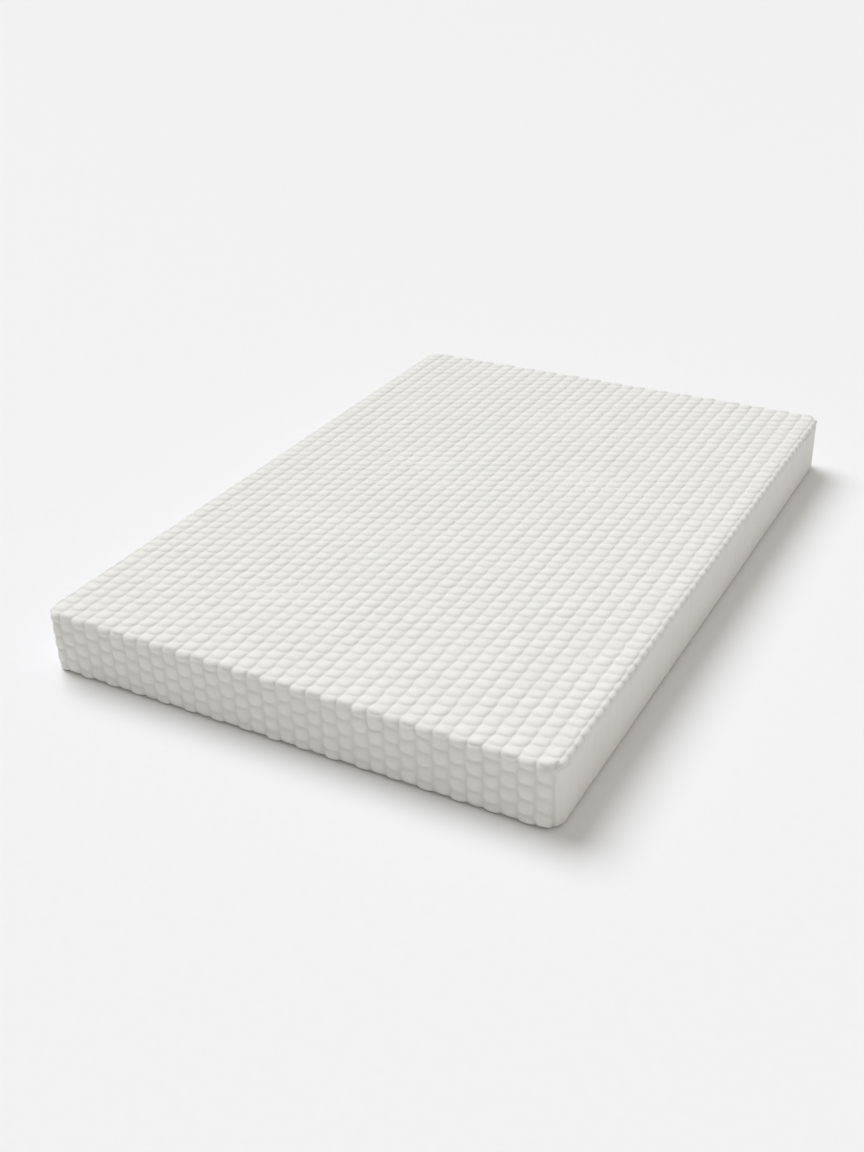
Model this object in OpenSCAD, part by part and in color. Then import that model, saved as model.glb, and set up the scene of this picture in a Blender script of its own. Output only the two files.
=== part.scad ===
// Foam mattress with a zip-off quilted cover.
// The main panel of the cover is one cloth over the top and down both ends. Two side panels are
// sewn to it along the long top edges and the four upright corners.
// Frame: X is the width, Y the length, Z up. The origin is at the middle of the underside.
// The foot end is at -Y and the head end, with the open stretch of the zip, at +Y.
// "Inset" is the distance inwards from the outer face of the sides.

/* [Overall size] */
// Width over the side panels
mattress_w = 1400; // [800:10:1900]
// Length over the end panels
mattress_l = 2000; // [1600:10:2400]
// Radius of the four upright corners
corner_r = 45; // [36:1:80]
// Radius of the rolled top edge
edge_r = 14; // [12.5:0.5:22]

/* [Foam core] */
// Height of the firm support foam
support_h = 90; // [60:1:140]
// Height of the transition foam
transition_h = 25; // [18:1:50]
// Height of the memory foam
memory_h = 40; // [20:1:80]
// Least free space between the core and the sides of the cover
core_gap = 1.6; // [1:0.1:4]
// Free space between the core and the top of the cover
top_gap = 0.5; // [0.3:0.1:3]
// Width of the zone cuts across the support foam
slot_w = 4; // [2:0.5:8]
// Depth of the zone cuts
slot_depth = 35; // [15:1:50]
// Distance between neighbouring zone cuts
slot_pitch = 50; // [30:1:80]
// Cuts in each of the two softer zones
slots_in_zone = 9; // [3:2:11]
// Distance from the middle of the mattress to the middle of each softer zone
zone_y = 480; // [400:10:560]
// Radius of the air channels along the top of the transition foam
channel_r = 7; // [3:0.5:12]
// Distance between neighbouring air channels
channel_pitch = 60; // [40:1:120]

/* [Quilted cover] */
// Thickness of the knitted face fabric with its raised tiles
face_t = 3; // [2:0.1:4]
// Thickness of the wadding at the sides and ends
side_wadding_t = 7.6; // [5:0.1:14]
// Thickness of the wadding over the top
top_wadding_t = 8.7; // [8:0.1:20]
// Thickness of the backing cloth behind the wadding
backing_t = 0.8; // [0.5:0.1:1.5]
// Radius at which the lower lip of the cover turns under
lip_r = 9; // [7:0.5:14]
// Angle through which the lip turns under
lip_turn = 62; // [40:1:70]
// Height of the lip above the floor
lip_floor = 4; // [2:0.5:8]
// Thickness of the seam tapes inside the cover
seam_tape_t = 0.6; // [0.3:0.1:0.8]
// Width of the seam tapes inside the cover
seam_tape_w = 12; // [8:1:20]

/* [Base fabric] */
// Thickness of the base fabric
base_t = 2; // [1:0.1:3]
// Radius at which the base fabric turns up
base_edge_r = 4; // [3.5:0.5:6]
// Height of the base fabric's upright rim
base_rim_h = 8; // [7:0.5:14]
// Free space between the lip and the rim
lip_gap = 1.4; // [1:0.1:4]

/* [Zip] */
// Thickness of the zip tapes
tape_t = 0.6; // [0.4:0.1:1]
// Free width of the lower tape above the rim
lower_tape_w = 4; // [3:0.5:8]
// Free width of the upper tape below the wadding
upper_tape_w = 6.6; // [4:0.1:10]
// Depth of the coils from front to back
coil_d = 2.2; // [1.6:0.1:3]
// Height of each coil
coil_h = 2.6; // [2:0.1:4]
// Free space between the two coils
coil_gap = 1.2; // [1.2:0.1:2]

/* [Slider and pull] */
// Length of the slider along the zip
slider_l = 14; // [10:0.5:20]
// Thickness of the slider's front plate
front_plate_t = 1.6; // [1:0.1:2]
// Thickness of the slider's back plate
back_plate_t = 1.2; // [0.8:0.1:1.6]
// Running clearance of the slider on the coils and the tape
slider_clear = 0.3; // [0.2:0.05:0.5]
// Distance from the closed slider to the end of the straight stretch of the head end
slider_margin = 55; // [30:1:200]
// Length of the pull beyond its fork
pull_l = 26; // [15:1:35]
// Width of the pull
pull_w = 8; // [6:0.5:10]
// Thickness of the pull
pull_t = 1.4; // [1:0.1:1.6]

/* [Care label] */
// Width of the blank label
label_w = 40; // [20:1:50]
// Length of the blank label below the cloth
label_l = 19; // [10:1:20]
// Thickness of the folded label
label_t = 0.6; // [0.4:0.1:1]
// Distance from the label to the end of the straight stretch of the head end
label_margin = 5; // [2:1:20]

/* [Hidden] */
$fn = 96;

// Sides by their quarter turn from the right side
right = 0;
head = 1;
left = 2;
foot = 3;

// Insets of the layers at the sides
lip_inset = lip_r - (lip_r - face_t) * cos(lip_turn);
rim_inset = ceil(10 * (lip_inset + lip_gap)) / 10;
tape_inset = rim_inset + base_t;
coil_inset = tape_inset + (tape_t - coil_d) / 2;
front_plate_inset = coil_inset - slider_clear - front_plate_t;
back_plate_inset = coil_inset + coil_d + slider_clear;
wadding_end = face_t + side_wadding_t;
cover_t = wadding_end + backing_t;
core_inset = max(cover_t + core_gap, back_plate_inset + back_plate_t + slider_clear);

// Heights, from the floor up
tape_floor = base_edge_r;
lower_coil_z = base_rim_h + lower_tape_w;
upper_coil_z = lower_coil_z + coil_h + coil_gap;
upper_tape_z = upper_coil_z + coil_h;
panel_z = upper_tape_z + upper_tape_w;
zip_mid_z = upper_coil_z - coil_gap / 2;
transition_z = base_t + support_h;
memory_z = transition_z + transition_h;
core_top = memory_z + memory_h;
top_backing_z = core_top + top_gap;
top_wadding_z = top_backing_z + backing_t;
top_face_z = top_wadding_z + top_wadding_t;
mattress_h = top_face_z + face_t;
top_seam_z = mattress_h - edge_r;
lip_z = lip_floor + ceil(10 * lip_r * sin(lip_turn)) / 10;

// Place of the closed slider, to the left of the middle of the head end
slider_x = mattress_w / 2 - corner_r - slider_margin;

// Slider: plates, the post between the coils, the flanges under the lower coil and the bridge
flange_t = 1;
slider_z = lower_coil_z - slider_clear - flange_t;
slider_h = upper_coil_z + coil_h + flange_t - slider_z;
slider_round = 2.5;
post_l = 3;
post_h = coil_gap - 2 * 0.2;
bridge_l = 7.6;
bridge_t = 1.2;
bridge_w = 2.4;
bridge_open_l = bridge_l - 2 * bridge_t;
bridge_open_h = pull_t + 0.9;

// Pull: its pin lies under the bridge, its fork passes on both sides of the bridge
pin_r = pull_t / 2 - 0.05;
fork_clear = 0.4;
fork_arm_w = 1.4;
fork_l = 5.2;
pull_inset = front_plate_inset - fork_clear - pull_t / 2;
pull_round = 2.5;
pull_hole_r = 1.8;

// Stops at the closed end of the zip
stop_l = 4;
stop_t = 0.4;
stop_x = -slider_x - slider_l / 2 - 1 - stop_l;

// Size that makes sure a cut passes right through
over = 1;

function half_span(side) = (side % 2 == 0 ? mattress_w : mattress_l) / 2 - corner_r;
function straight(side) = (side % 2 == 0 ? mattress_l : mattress_w) - 2 * corner_r;

// ---- Building blocks ----

// Outline of the mattress seen from above, at an inset
module plan(inset) {
    square([mattress_w - 2 * inset, straight(right)], center = true);
    square([straight(head), mattress_l - 2 * inset], center = true);
    for (x = [-1, 1], y = [-1, 1])
        translate([x * half_span(right), y * half_span(head)]) circle(corner_r - inset);
}

// Flat layer that fills the outline
module layer(inset, z, h) {
    translate([0, 0, z]) linear_extrude(h) plan(inset);
}

// One side of the cover: a section swept along the straight and round half of both corners.
// In the section, x is the distance from the corner's upright axis and y is the height.
module side_of(side) {
    rotate([0, 0, 90 * side]) translate([half_span(side), 0, 0]) {
        rotate([90, 0, 0]) linear_extrude(straight(side), center = true) children();
        translate([0, straight(side) / 2, 0]) rotate_extrude(angle = 45) children();
        translate([0, -straight(side) / 2, 0])
            rotate_extrude(angle = 45, start = -45) children();
    }
}

// A section swept all the way round
module all_round() {
    for (side = [right, head, left, foot]) side_of(side) children();
}

// Section of an upright band between two insets
module band(inset, t, z, h) {
    translate([corner_r - inset - t, z]) square([t, h]);
}

// Section of a curved band about a centre, turned from the first angle to the second
module curved_band(inset, z, r, t, from, to) {
    far = 2 * r;
    mid = (from + to) / 2;
    translate([corner_r - inset, z]) intersection() {
        difference() {
            circle(r);
            circle(r - t);
        }
        polygon([
            [0, 0],
            [far * cos(from), far * sin(from)],
            [far * cos(mid), far * sin(mid)],
            [far * cos(to), far * sin(to)]
        ]);
    }
}

// A rectangle with round corners, about its middle
module round_rectangle(l, w, r) {
    square([l - 2 * r, w], center = true);
    square([l, w - 2 * r], center = true);
    for (x = [-1, 1], y = [-1, 1])
        translate([x * (l / 2 - r), y * (w / 2 - r)]) circle(r, $fn = 32);
}

// Turns a flat drawing to stand at the head end: its x stays x, its y becomes the height,
// and it is raised outwards from the given inset
module at_head(inset) {
    translate([0, mattress_l / 2 - inset, 0]) mirror([0, 1, 0]) rotate([90, 0, 0]) children();
}

// ---- Foam core ----

// The zone cuts of one softer zone
module zone_cuts(y) {
    for (i = [0 : slots_in_zone - 1])
        translate([
            -mattress_w / 2,
            y + (i - (slots_in_zone - 1) / 2) * slot_pitch - slot_w / 2,
            transition_z - slot_depth
        ])
            cube([mattress_w, slot_w, slot_depth + over]);
}

module support_foam() {
    color("whitesmoke") difference() {
        layer(core_inset, base_t, support_h);
        zone_cuts(-zone_y);
        zone_cuts(zone_y);
    }
}

module transition_foam() {
    channels = floor((mattress_w / 2 - core_inset - channel_r) / channel_pitch);
    color("lightsteelblue") difference() {
        layer(core_inset, transition_z, transition_h);
        for (i = [-channels : channels])
            translate([i * channel_pitch, 0, memory_z]) rotate([90, 0, 0])
                cylinder(r = channel_r, h = mattress_l, center = true, $fn = 48);
    }
}

module memory_foam() {
    color("cornsilk") layer(core_inset, memory_z, memory_h);
}

// ---- Base fabric ----

module base_fabric() {
    color("gainsboro") {
        layer(rim_inset + base_edge_r, 0, base_t);
        all_round() {
            curved_band(rim_inset + base_edge_r, base_edge_r, base_edge_r, base_t, -90, 0);
            band(rim_inset, base_t, base_edge_r, base_rim_h - base_edge_r);
        }
    }
}

// ---- Quilted cover ----

// A wall of face fabric, down to the foot of the wadding
module plain_wall(side) {
    side_of(side) band(0, face_t, panel_z, top_seam_z - panel_z);
}

// A wall of face fabric with the lip that hides the zip
module lipped_wall(side) {
    side_of(side) {
        band(0, face_t, lip_z, top_seam_z - lip_z);
        curved_band(lip_r, lip_z, lip_r, face_t, -lip_turn, 0);
    }
}

// One cloth: the top with its rolled edge, and both ends. The lip is left out at the head end.
module main_face() {
    color("ivory") {
        layer(edge_r, top_face_z, face_t);
        all_round() curved_band(edge_r, top_seam_z, edge_r, face_t, 0, 90);
        lipped_wall(foot);
        plain_wall(head);
    }
}

// The wadding also fills the rolled edge, down to the seams with the side panels
module main_wadding() {
    color("white") {
        layer(edge_r, top_wadding_z, top_wadding_t);
        all_round() difference() {
            curved_band(edge_r, top_seam_z, edge_r - face_t, edge_r - face_t, 0, 90);
            translate([corner_r - edge_r - over, top_seam_z - over])
                square([edge_r - wadding_end + over, top_wadding_z - top_seam_z + over]);
        }
        wadding_wall(foot);
        wadding_wall(head);
    }
}

module main_backing() {
    color("linen") {
        layer(wadding_end, top_backing_z, backing_t);
        backing_wall(foot);
        backing_wall(head);
    }
}

module wadding_wall(side) {
    side_of(side) band(face_t, side_wadding_t, panel_z, top_seam_z - panel_z);
}

module backing_wall(side) {
    side_of(side) band(wadding_end, backing_t, panel_z, top_backing_z - panel_z);
}

module side_face_right() color("ivory") lipped_wall(right);
module side_face_left() color("ivory") lipped_wall(left);
module side_wadding_right() color("white") wadding_wall(right);
module side_wadding_left() color("white") wadding_wall(left);
module side_backing_right() color("linen") backing_wall(right);
module side_backing_left() color("linen") backing_wall(left);

module top_seam_tapes() {
    color("lightgray") for (side = [right, left])
        side_of(side) band(cover_t, seam_tape_t, top_backing_z - seam_tape_w, seam_tape_w);
}

// Tapes over the four upright corner seams, up to the level of the top seam tapes
module corner_seam_tapes() {
    r = corner_r - cover_t;
    turn = seam_tape_w / r * 180 / PI;
    color("lightgray") for (side = [right, head, left, foot])
        rotate([0, 0, 90 * side]) translate([half_span(side), straight(side) / 2, 0])
            rotate_extrude(angle = turn, start = 45 - turn / 2)
                band(cover_t, seam_tape_t, panel_z, top_backing_z - seam_tape_w - panel_z);
}

module care_label() {
    color("snow")
        translate([
            straight(head) / 2 - label_margin - label_w,
            mattress_l / 2 - face_t / 2 - label_t / 2,
            panel_z - label_l
        ])
            cube([label_w, label_t, label_l]);
}

// ---- Zip ----

module lower_zip_tape() {
    color("white") all_round() band(tape_inset, tape_t, tape_floor, lower_coil_z - tape_floor);
}

module upper_zip_tape() {
    color("white") all_round() band(tape_inset, tape_t, upper_tape_z, upper_tape_w);
}

module lower_zip_coil() {
    color("silver") all_round() band(coil_inset, coil_d, lower_coil_z, coil_h);
}

module upper_zip_coil() {
    color("silver") all_round() band(coil_inset, coil_d, upper_coil_z, coil_h);
}

// A clamp round a coil at the closed end of the zip, open towards the tape
module zip_stop(z, tape_side) {
    wall_z = tape_side < 0 ? z : z - stop_t;
    color("gray") difference() {
        translate([stop_x, mattress_l / 2 - coil_inset - coil_d - stop_t, wall_z])
            cube([stop_l, coil_d + 2 * stop_t, coil_h + stop_t]);
        translate([stop_x - over, mattress_l / 2 - coil_inset - coil_d, z - (tape_side < 0 ? over : 0)])
            cube([stop_l + 2 * over, coil_d, coil_h + over]);
    }
}

module lower_zip_stop() zip_stop(lower_coil_z, -1);
module upper_zip_stop() zip_stop(upper_coil_z, 1);

// ---- Slider and pull ----

// One plate of the slider, lying against the coils
module slider_plate(inset, t) {
    at_head(inset + t)
        translate([-slider_x, slider_z + slider_h / 2, 0])
            linear_extrude(t) round_rectangle(slider_l, slider_h, slider_round);
}

module slider_block(l, inset, t, z, h) {
    translate([-slider_x - l / 2, mattress_l / 2 - inset - t, z]) cube([l, t, h]);
}

module zip_slider() {
    flange_d = tape_inset - slider_clear - (front_plate_inset + front_plate_t);
    bridge_h = bridge_open_h + bridge_t;
    color("dimgray") {
        slider_plate(front_plate_inset, front_plate_t);
        slider_plate(back_plate_inset, back_plate_t);
        slider_block(post_l, front_plate_inset, back_plate_inset - front_plate_inset + back_plate_t,
            zip_mid_z - post_h / 2, post_h);
        slider_block(slider_l - 2 * slider_round, front_plate_inset + front_plate_t, flange_d,
            slider_z, flange_t);
        slider_block(slider_l - 2 * slider_round, back_plate_inset - flange_d, flange_d,
            slider_z, flange_t);
        difference() {
            slider_block(bridge_l, front_plate_inset - bridge_h, bridge_h,
                zip_mid_z - bridge_w / 2, bridge_w);
            slider_block(bridge_open_l, front_plate_inset - bridge_open_h, bridge_open_h + over,
                zip_mid_z - bridge_w, 2 * bridge_w);
        }
    }
}

// The pull lies flat along the zip, its hinge line upright under the bridge
module zip_pull() {
    arm_z = bridge_w / 2 + fork_clear;
    fork_w = arm_z + fork_arm_w;
    color("dimgray")
        translate([-slider_x, mattress_l / 2 - pull_inset, zip_mid_z]) {
            cylinder(r = pin_r, h = 2 * fork_w, center = true);
            for (z = [-fork_w, arm_z]) {
                translate([0, 0, z]) cylinder(r = pull_t / 2, h = fork_arm_w);
                translate([0, -pull_t / 2, z]) cube([fork_l + over, pull_t, fork_arm_w]);
            }
            translate([fork_l + pull_l / 2, pull_t / 2, 0]) rotate([90, 0, 0])
                linear_extrude(pull_t) difference() {
                    round_rectangle(pull_l, pull_w, pull_round);
                    translate([pull_l / 2 - 2 * pull_hole_r - 1, 0]) circle(pull_hole_r, $fn = 32);
                }
        }
}

support_foam();
transition_foam();
memory_foam();
base_fabric();
lower_zip_tape();
lower_zip_coil();
lower_zip_stop();
main_face();
main_wadding();
main_backing();
side_face_right();
side_wadding_right();
side_backing_right();
side_face_left();
side_wadding_left();
side_backing_left();
top_seam_tapes();
corner_seam_tapes();
upper_zip_tape();
upper_zip_coil();
upper_zip_stop();
care_label();
zip_slider();
zip_pull();
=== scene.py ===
import functools
import math

import bpy
import numpy as np
from mathutils import Matrix, Vector


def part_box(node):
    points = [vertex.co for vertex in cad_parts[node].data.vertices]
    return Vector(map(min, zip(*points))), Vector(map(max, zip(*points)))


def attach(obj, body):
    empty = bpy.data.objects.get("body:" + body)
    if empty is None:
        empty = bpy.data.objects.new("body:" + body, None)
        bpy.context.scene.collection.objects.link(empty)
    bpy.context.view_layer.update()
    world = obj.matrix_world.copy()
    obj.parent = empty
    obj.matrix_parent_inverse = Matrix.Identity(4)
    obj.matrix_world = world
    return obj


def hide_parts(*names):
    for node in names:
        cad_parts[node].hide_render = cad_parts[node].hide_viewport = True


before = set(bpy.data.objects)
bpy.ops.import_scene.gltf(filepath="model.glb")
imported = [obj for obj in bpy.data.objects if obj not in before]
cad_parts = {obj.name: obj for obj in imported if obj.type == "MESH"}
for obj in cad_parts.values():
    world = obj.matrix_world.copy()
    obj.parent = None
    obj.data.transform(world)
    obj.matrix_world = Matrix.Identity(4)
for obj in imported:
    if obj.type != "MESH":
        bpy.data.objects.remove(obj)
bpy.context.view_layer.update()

bl_info = {
    "name": "Quilted Foam Mattress",
    "version": (1, 0, 0),
    "blender": (4, 5, 0),
    "location": "View3D > Sidebar > Mattress",
    "description": "A layered foam mattress in a quilted zip-off cover, built around its CAD parts",
    "category": "Object",
}

# ---------------------------------------------------------------- sizes from the CAD parts


def low(node):
    return Vector(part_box(node)[0])


def high(node):
    return Vector(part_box(node)[1])


HALF_W = high("side_face_right").x
HALF_L = high("main_face").y
HEIGHT = high("main_face").z
FOOT_LIP_Z = low("main_face").z
PANEL_Z = low("main_wadding").z
CORE_W = high("memory_foam").x
CORE_L = high("memory_foam").y


# ---------------------------------------------------------------- properties


class MattressCoverSizes(bpy.types.PropertyGroup):
    corner_radius: bpy.props.FloatProperty(
        name="Corner radius", description="Radius of the four upright corners",
        default=0.045, unit="LENGTH")
    edge_radius: bpy.props.FloatProperty(
        name="Top edge radius", description="Radius of the rolled top edge",
        default=0.014, unit="LENGTH")
    face_thickness: bpy.props.FloatProperty(
        name="Face fabric", description="Thickness of the knitted face fabric",
        default=0.003, unit="LENGTH")
    wadding_thickness: bpy.props.FloatProperty(
        name="Side wadding", description="Thickness of the wadding in the walls",
        default=0.0076, unit="LENGTH")
    top_wadding_thickness: bpy.props.FloatProperty(
        name="Top wadding", description="Thickness of the wadding over the top",
        default=0.0087, unit="LENGTH")
    backing_thickness: bpy.props.FloatProperty(
        name="Backing", description="Thickness of the cloth behind the wadding",
        default=0.0008, unit="LENGTH")
    lip_radius: bpy.props.FloatProperty(
        name="Lip radius", description="Radius at which the lower lip of the cover turns under",
        default=0.009, unit="LENGTH")
    lip_turn: bpy.props.FloatProperty(
        name="Lip turn", description="Angle through which the lip turns under",
        default=math.radians(62), subtype="ANGLE")


class MattressQuiltSizes(bpy.types.PropertyGroup):
    column_pitch: bpy.props.FloatProperty(
        name="Column pitch", description="Distance between neighbouring column grooves",
        default=0.688 / 17, unit="LENGTH")
    rows_on_top: bpy.props.FloatProperty(
        name="Rows on top", description="Tiles in a column from one rolled end to the other",
        default=53.5)
    wall_row_pitch: bpy.props.FloatProperty(
        name="Wall row pitch", description="Height of a tile on the end walls",
        default=0.0395, unit="LENGTH")
    relief: bpy.props.FloatProperty(
        name="Relief", description="Height of a tile's crown above its column grooves",
        default=0.0048, unit="LENGTH")
    sunk: bpy.props.FloatProperty(
        name="Groove depth", description="Depth of the grooves below the plain face",
        default=0.0024, unit="LENGTH")
    row_share: bpy.props.FloatProperty(
        name="Row share", description="Depth of the row grooves as a share of the column grooves",
        default=0.82, min=0, max=1, subtype="FACTOR")
    unevenness: bpy.props.FloatProperty(
        name="Unevenness", description="Spread of the tiles' heights, as a share of the relief",
        default=0.18, min=0, max=1, subtype="FACTOR")
    droop: bpy.props.FloatProperty(
        name="Droop", description="How much higher a tile stands at its foot side than at its head side",
        default=0.12, min=0, max=0.5)
    sway: bpy.props.FloatProperty(
        name="Groove sway", description="How far a groove sways between the staggered tiles",
        default=0.0006, unit="LENGTH")
    bow: bpy.props.FloatProperty(
        name="Row bow", description="How far the middle of a row groove sags towards the foot end",
        default=0.0036, unit="LENGTH")
    drift: bpy.props.FloatProperty(
        name="Drift", description="How far tiles lie off their even places",
        default=0.0014, unit="LENGTH")
    cloth_pressure: bpy.props.FloatProperty(
        name="Cloth pressure", description="Push of the wadding on the swatch that is puffed up as cloth",
        default=20.0)
    cloth_slack: bpy.props.FloatProperty(
        name="Cloth slack", description="Share of spare cloth between the seams of the swatch",
        default=0.12, subtype="FACTOR")
    cloth_bend: bpy.props.FloatProperty(
        name="Cloth stiffness", description="Bending stiffness of the swatch's cloth",
        default=0.2)
    fullness: bpy.props.FloatProperty(
        name="Fullness", description="Power that fills the tiles out towards their grooves, 1 for none",
        default=0.66, min=0.3, max=1)
    rib_depth: bpy.props.FloatProperty(
        name="Side rib depth", description="Depth of the faint upright ribs of the side panels",
        default=0.0007, unit="LENGTH")


class MattressZipSizes(bpy.types.PropertyGroup):
    turn_pitch: bpy.props.FloatProperty(
        name="Coil pitch", description="Distance between neighbouring turns of the coil",
        default=0.0026, unit="LENGTH")
    wire: bpy.props.FloatProperty(
        name="Coil wire", description="Radius of the coil's monofilament",
        default=0.0004, unit="LENGTH")
    edge_round: bpy.props.FloatProperty(
        name="Edge rounding", description="Rounding of the metal edges",
        default=0.00025, unit="LENGTH")


class MattressColours(bpy.types.PropertyGroup):
    knit: bpy.props.FloatVectorProperty(
        name="Knit", description="Face fabric on the crown of a tile", subtype="COLOR",
        default=(0.90, 0.898, 0.862), size=3)
    # painted shade: the knit tinted darker down in the grooves, where shade falls
    groove: bpy.props.FloatVectorProperty(
        name="Groove", description="Face fabric down in the grooves", subtype="COLOR",
        default=(0.815, 0.812, 0.78), size=3)
    wadding: bpy.props.FloatVectorProperty(
        name="Wadding", description="Polyester wadding", subtype="COLOR",
        default=(0.88, 0.88, 0.86), size=3)
    backing: bpy.props.FloatVectorProperty(
        name="Backing", description="Bonded cloth behind the wadding", subtype="COLOR",
        default=(0.78, 0.77, 0.74), size=3)
    base: bpy.props.FloatVectorProperty(
        name="Base fabric", description="Woven fabric of the underside", subtype="COLOR",
        default=(0.60, 0.60, 0.585), size=3)
    tape: bpy.props.FloatVectorProperty(
        name="Tape", description="Zip and seam tapes", subtype="COLOR",
        default=(0.80, 0.80, 0.78), size=3)
    coil: bpy.props.FloatVectorProperty(
        name="Zip coil", description="Nylon coil", subtype="COLOR",
        default=(0.74, 0.74, 0.72), size=3)
    metal: bpy.props.FloatVectorProperty(
        name="Zip metal", description="Slider, pull and stops", subtype="COLOR",
        default=(0.55, 0.55, 0.56), size=3)
    support: bpy.props.FloatVectorProperty(
        name="Support foam", description="Firm foam at the bottom", subtype="COLOR",
        default=(0.80, 0.80, 0.78), size=3)
    transition: bpy.props.FloatVectorProperty(
        name="Transition foam", description="Foam in the middle", subtype="COLOR",
        default=(0.50, 0.60, 0.70), size=3)
    memory: bpy.props.FloatVectorProperty(
        name="Memory foam", description="Slow foam on top", subtype="COLOR",
        default=(0.84, 0.76, 0.58), size=3)


def cover_sizes():
    return bpy.context.scene.mattress_cover


def quilt_sizes():
    return bpy.context.scene.mattress_quilt


def zip_sizes():
    return bpy.context.scene.mattress_zip


def colours():
    return bpy.context.scene.mattress_colours


# ---------------------------------------------------------------- materials


class Finish:
    """A material under construction, with short ways to add and join its nodes."""

    def __init__(self, name):
        self.material = bpy.data.materials.new(name)
        self.material.use_nodes = True
        self.tree = self.material.node_tree
        self.shader = self.tree.nodes["Principled BSDF"]

    def add(self, kind, **settings):
        node = self.tree.nodes.new(kind)
        for key, value in settings.items():
            if hasattr(node, key):
                setattr(node, key, value)
            else:
                node.inputs[key.replace("_", " ")].default_value = value
        return node

    def join(self, source, target):
        self.tree.links.new(source, target)

    def where(self, uv=False):
        coords = self.add("ShaderNodeTexCoord")
        return coords.outputs["UV" if uv else "Object"]

    def noise(self, place, scale, detail=2.0, rough=0.5):
        node = self.add("ShaderNodeTexNoise", Scale=scale, Detail=detail, Roughness=rough)
        self.join(place, node.inputs["Vector"])
        return node.outputs["Fac"]

    def wave(self, place, scale, direction="X", distortion=0.0):
        node = self.add("ShaderNodeTexWave", wave_type="BANDS", bands_direction=direction,
                        wave_profile="SIN", Scale=scale, Distortion=distortion, Detail=1.0)
        self.join(place, node.inputs["Vector"])
        return node.outputs["Fac"]

    def cells(self, place, scale):
        node = self.add("ShaderNodeTexVoronoi", feature="F1", Scale=scale)
        self.join(place, node.inputs["Vector"])
        return node.outputs["Distance"]

    def maths(self, operation, a, b):
        node = self.add("ShaderNodeMath", operation=operation)
        for socket, value in zip(node.inputs, (a, b)):
            if isinstance(value, (int, float)):
                socket.default_value = value
            else:
                self.join(value, socket)
        return node.outputs[0]

    def ramp(self, source, start, end, colour_a, colour_b):
        node = self.add("ShaderNodeValToRGB")
        node.color_ramp.elements[0].position = start
        node.color_ramp.elements[1].position = end
        node.color_ramp.elements[0].color = (*colour_a, 1)
        node.color_ramp.elements[1].color = (*colour_b, 1)
        self.join(source, node.inputs["Fac"])
        return node.outputs["Color"]

    def blend(self, share, a, b, how="MIX"):
        node = self.add("ShaderNodeMix", data_type="RGBA", blend_type=how)
        for socket, value in ((node.inputs["Factor"], share), (node.inputs[6], a), (node.inputs[7], b)):
            if isinstance(value, (int, float)):
                socket.default_value = value
            elif isinstance(value, tuple):
                socket.default_value = (*value, 1)
            else:
                self.join(value, socket)
        return node.outputs[2]

    def bump(self, height, distance, strength=1.0, under=None):
        node = self.add("ShaderNodeBump", Distance=distance, Strength=strength)
        self.join(height, node.inputs["Height"])
        if under is not None:
            self.join(under, node.inputs["Normal"])
        return node.outputs["Normal"]

    def finish(self, colour, normal=None, rough=0.8, sheen=0.0, metal=0.0, rough_map=None):
        if isinstance(colour, tuple):
            self.shader.inputs["Base Color"].default_value = (*colour, 1)
        else:
            self.join(colour, self.shader.inputs["Base Color"])
        if normal is not None:
            self.join(normal, self.shader.inputs["Normal"])
        self.shader.inputs["Roughness"].default_value = rough
        if rough_map is not None:
            self.join(rough_map, self.shader.inputs["Roughness"])
        self.shader.inputs["Metallic"].default_value = metal
        if sheen:
            self.shader.inputs["Sheen Weight"].default_value = sheen
            self.shader.inputs["Sheen Roughness"].default_value = 0.45
        return self.material


def shade(colour, amount):
    return tuple(min(1.0, c * amount) for c in colour)


def made(name, maker):
    """The named material, made the first time it is asked for."""
    return bpy.data.materials.get(name) or maker(name)


def knit_cover(name):
    """Knitted cover: fine ribs of stitches, painted shade that greys the grooves and leaves the crowns
    pale, and a soft nap.
    """
    f = Finish(name)
    uv = f.where(uv=True)
    # painted shade: the cloth runs from the knit colour to the groove colour the deeper it lies in a groove
    depth = f.add("ShaderNodeAttribute", attribute_name="depth").outputs["Fac"]
    cloth = f.ramp(depth, 0.05, 0.75, tuple(colours().knit), tuple(colours().groove))
    patchy = f.noise(uv, 9.0, 3.0)
    cloth = f.blend(0.35, cloth, f.ramp(patchy, 0.3, 0.7, (0.93, 0.93, 0.93), (1, 1, 1)), "MULTIPLY")
    fibre = f.noise(uv, 900.0, 2.0, 0.6)
    cloth = f.blend(0.25, cloth, f.ramp(fibre, 0.3, 0.7, (0.86, 0.86, 0.85), (1, 1, 1)), "MULTIPLY")
    ribs = f.wave(uv, 105.0, "X", 0.6)
    courses = f.wave(uv, 150.0, "Y", 0.8)
    stitch = f.maths("MULTIPLY", ribs, courses)
    fine = f.bump(stitch, 0.00025, 0.5)
    normal = f.bump(fibre, 0.00012, 0.4, fine)
    return f.finish(cloth, normal, rough=0.88, sheen=0.18)


def fluffy_wadding(name):
    f = Finish(name)
    place = f.where()
    tufts = f.noise(place, 60.0, 5.0, 0.65)
    fibres = f.noise(place, 700.0, 3.0, 0.7)
    colour = f.ramp(tufts, 0.3, 0.7, shade(colours().wadding, 0.9), tuple(colours().wadding))
    normal = f.bump(fibres, 0.0006, 0.7, f.bump(tufts, 0.002, 0.6))
    return f.finish(colour, normal, rough=0.95, sheen=0.1)


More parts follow.
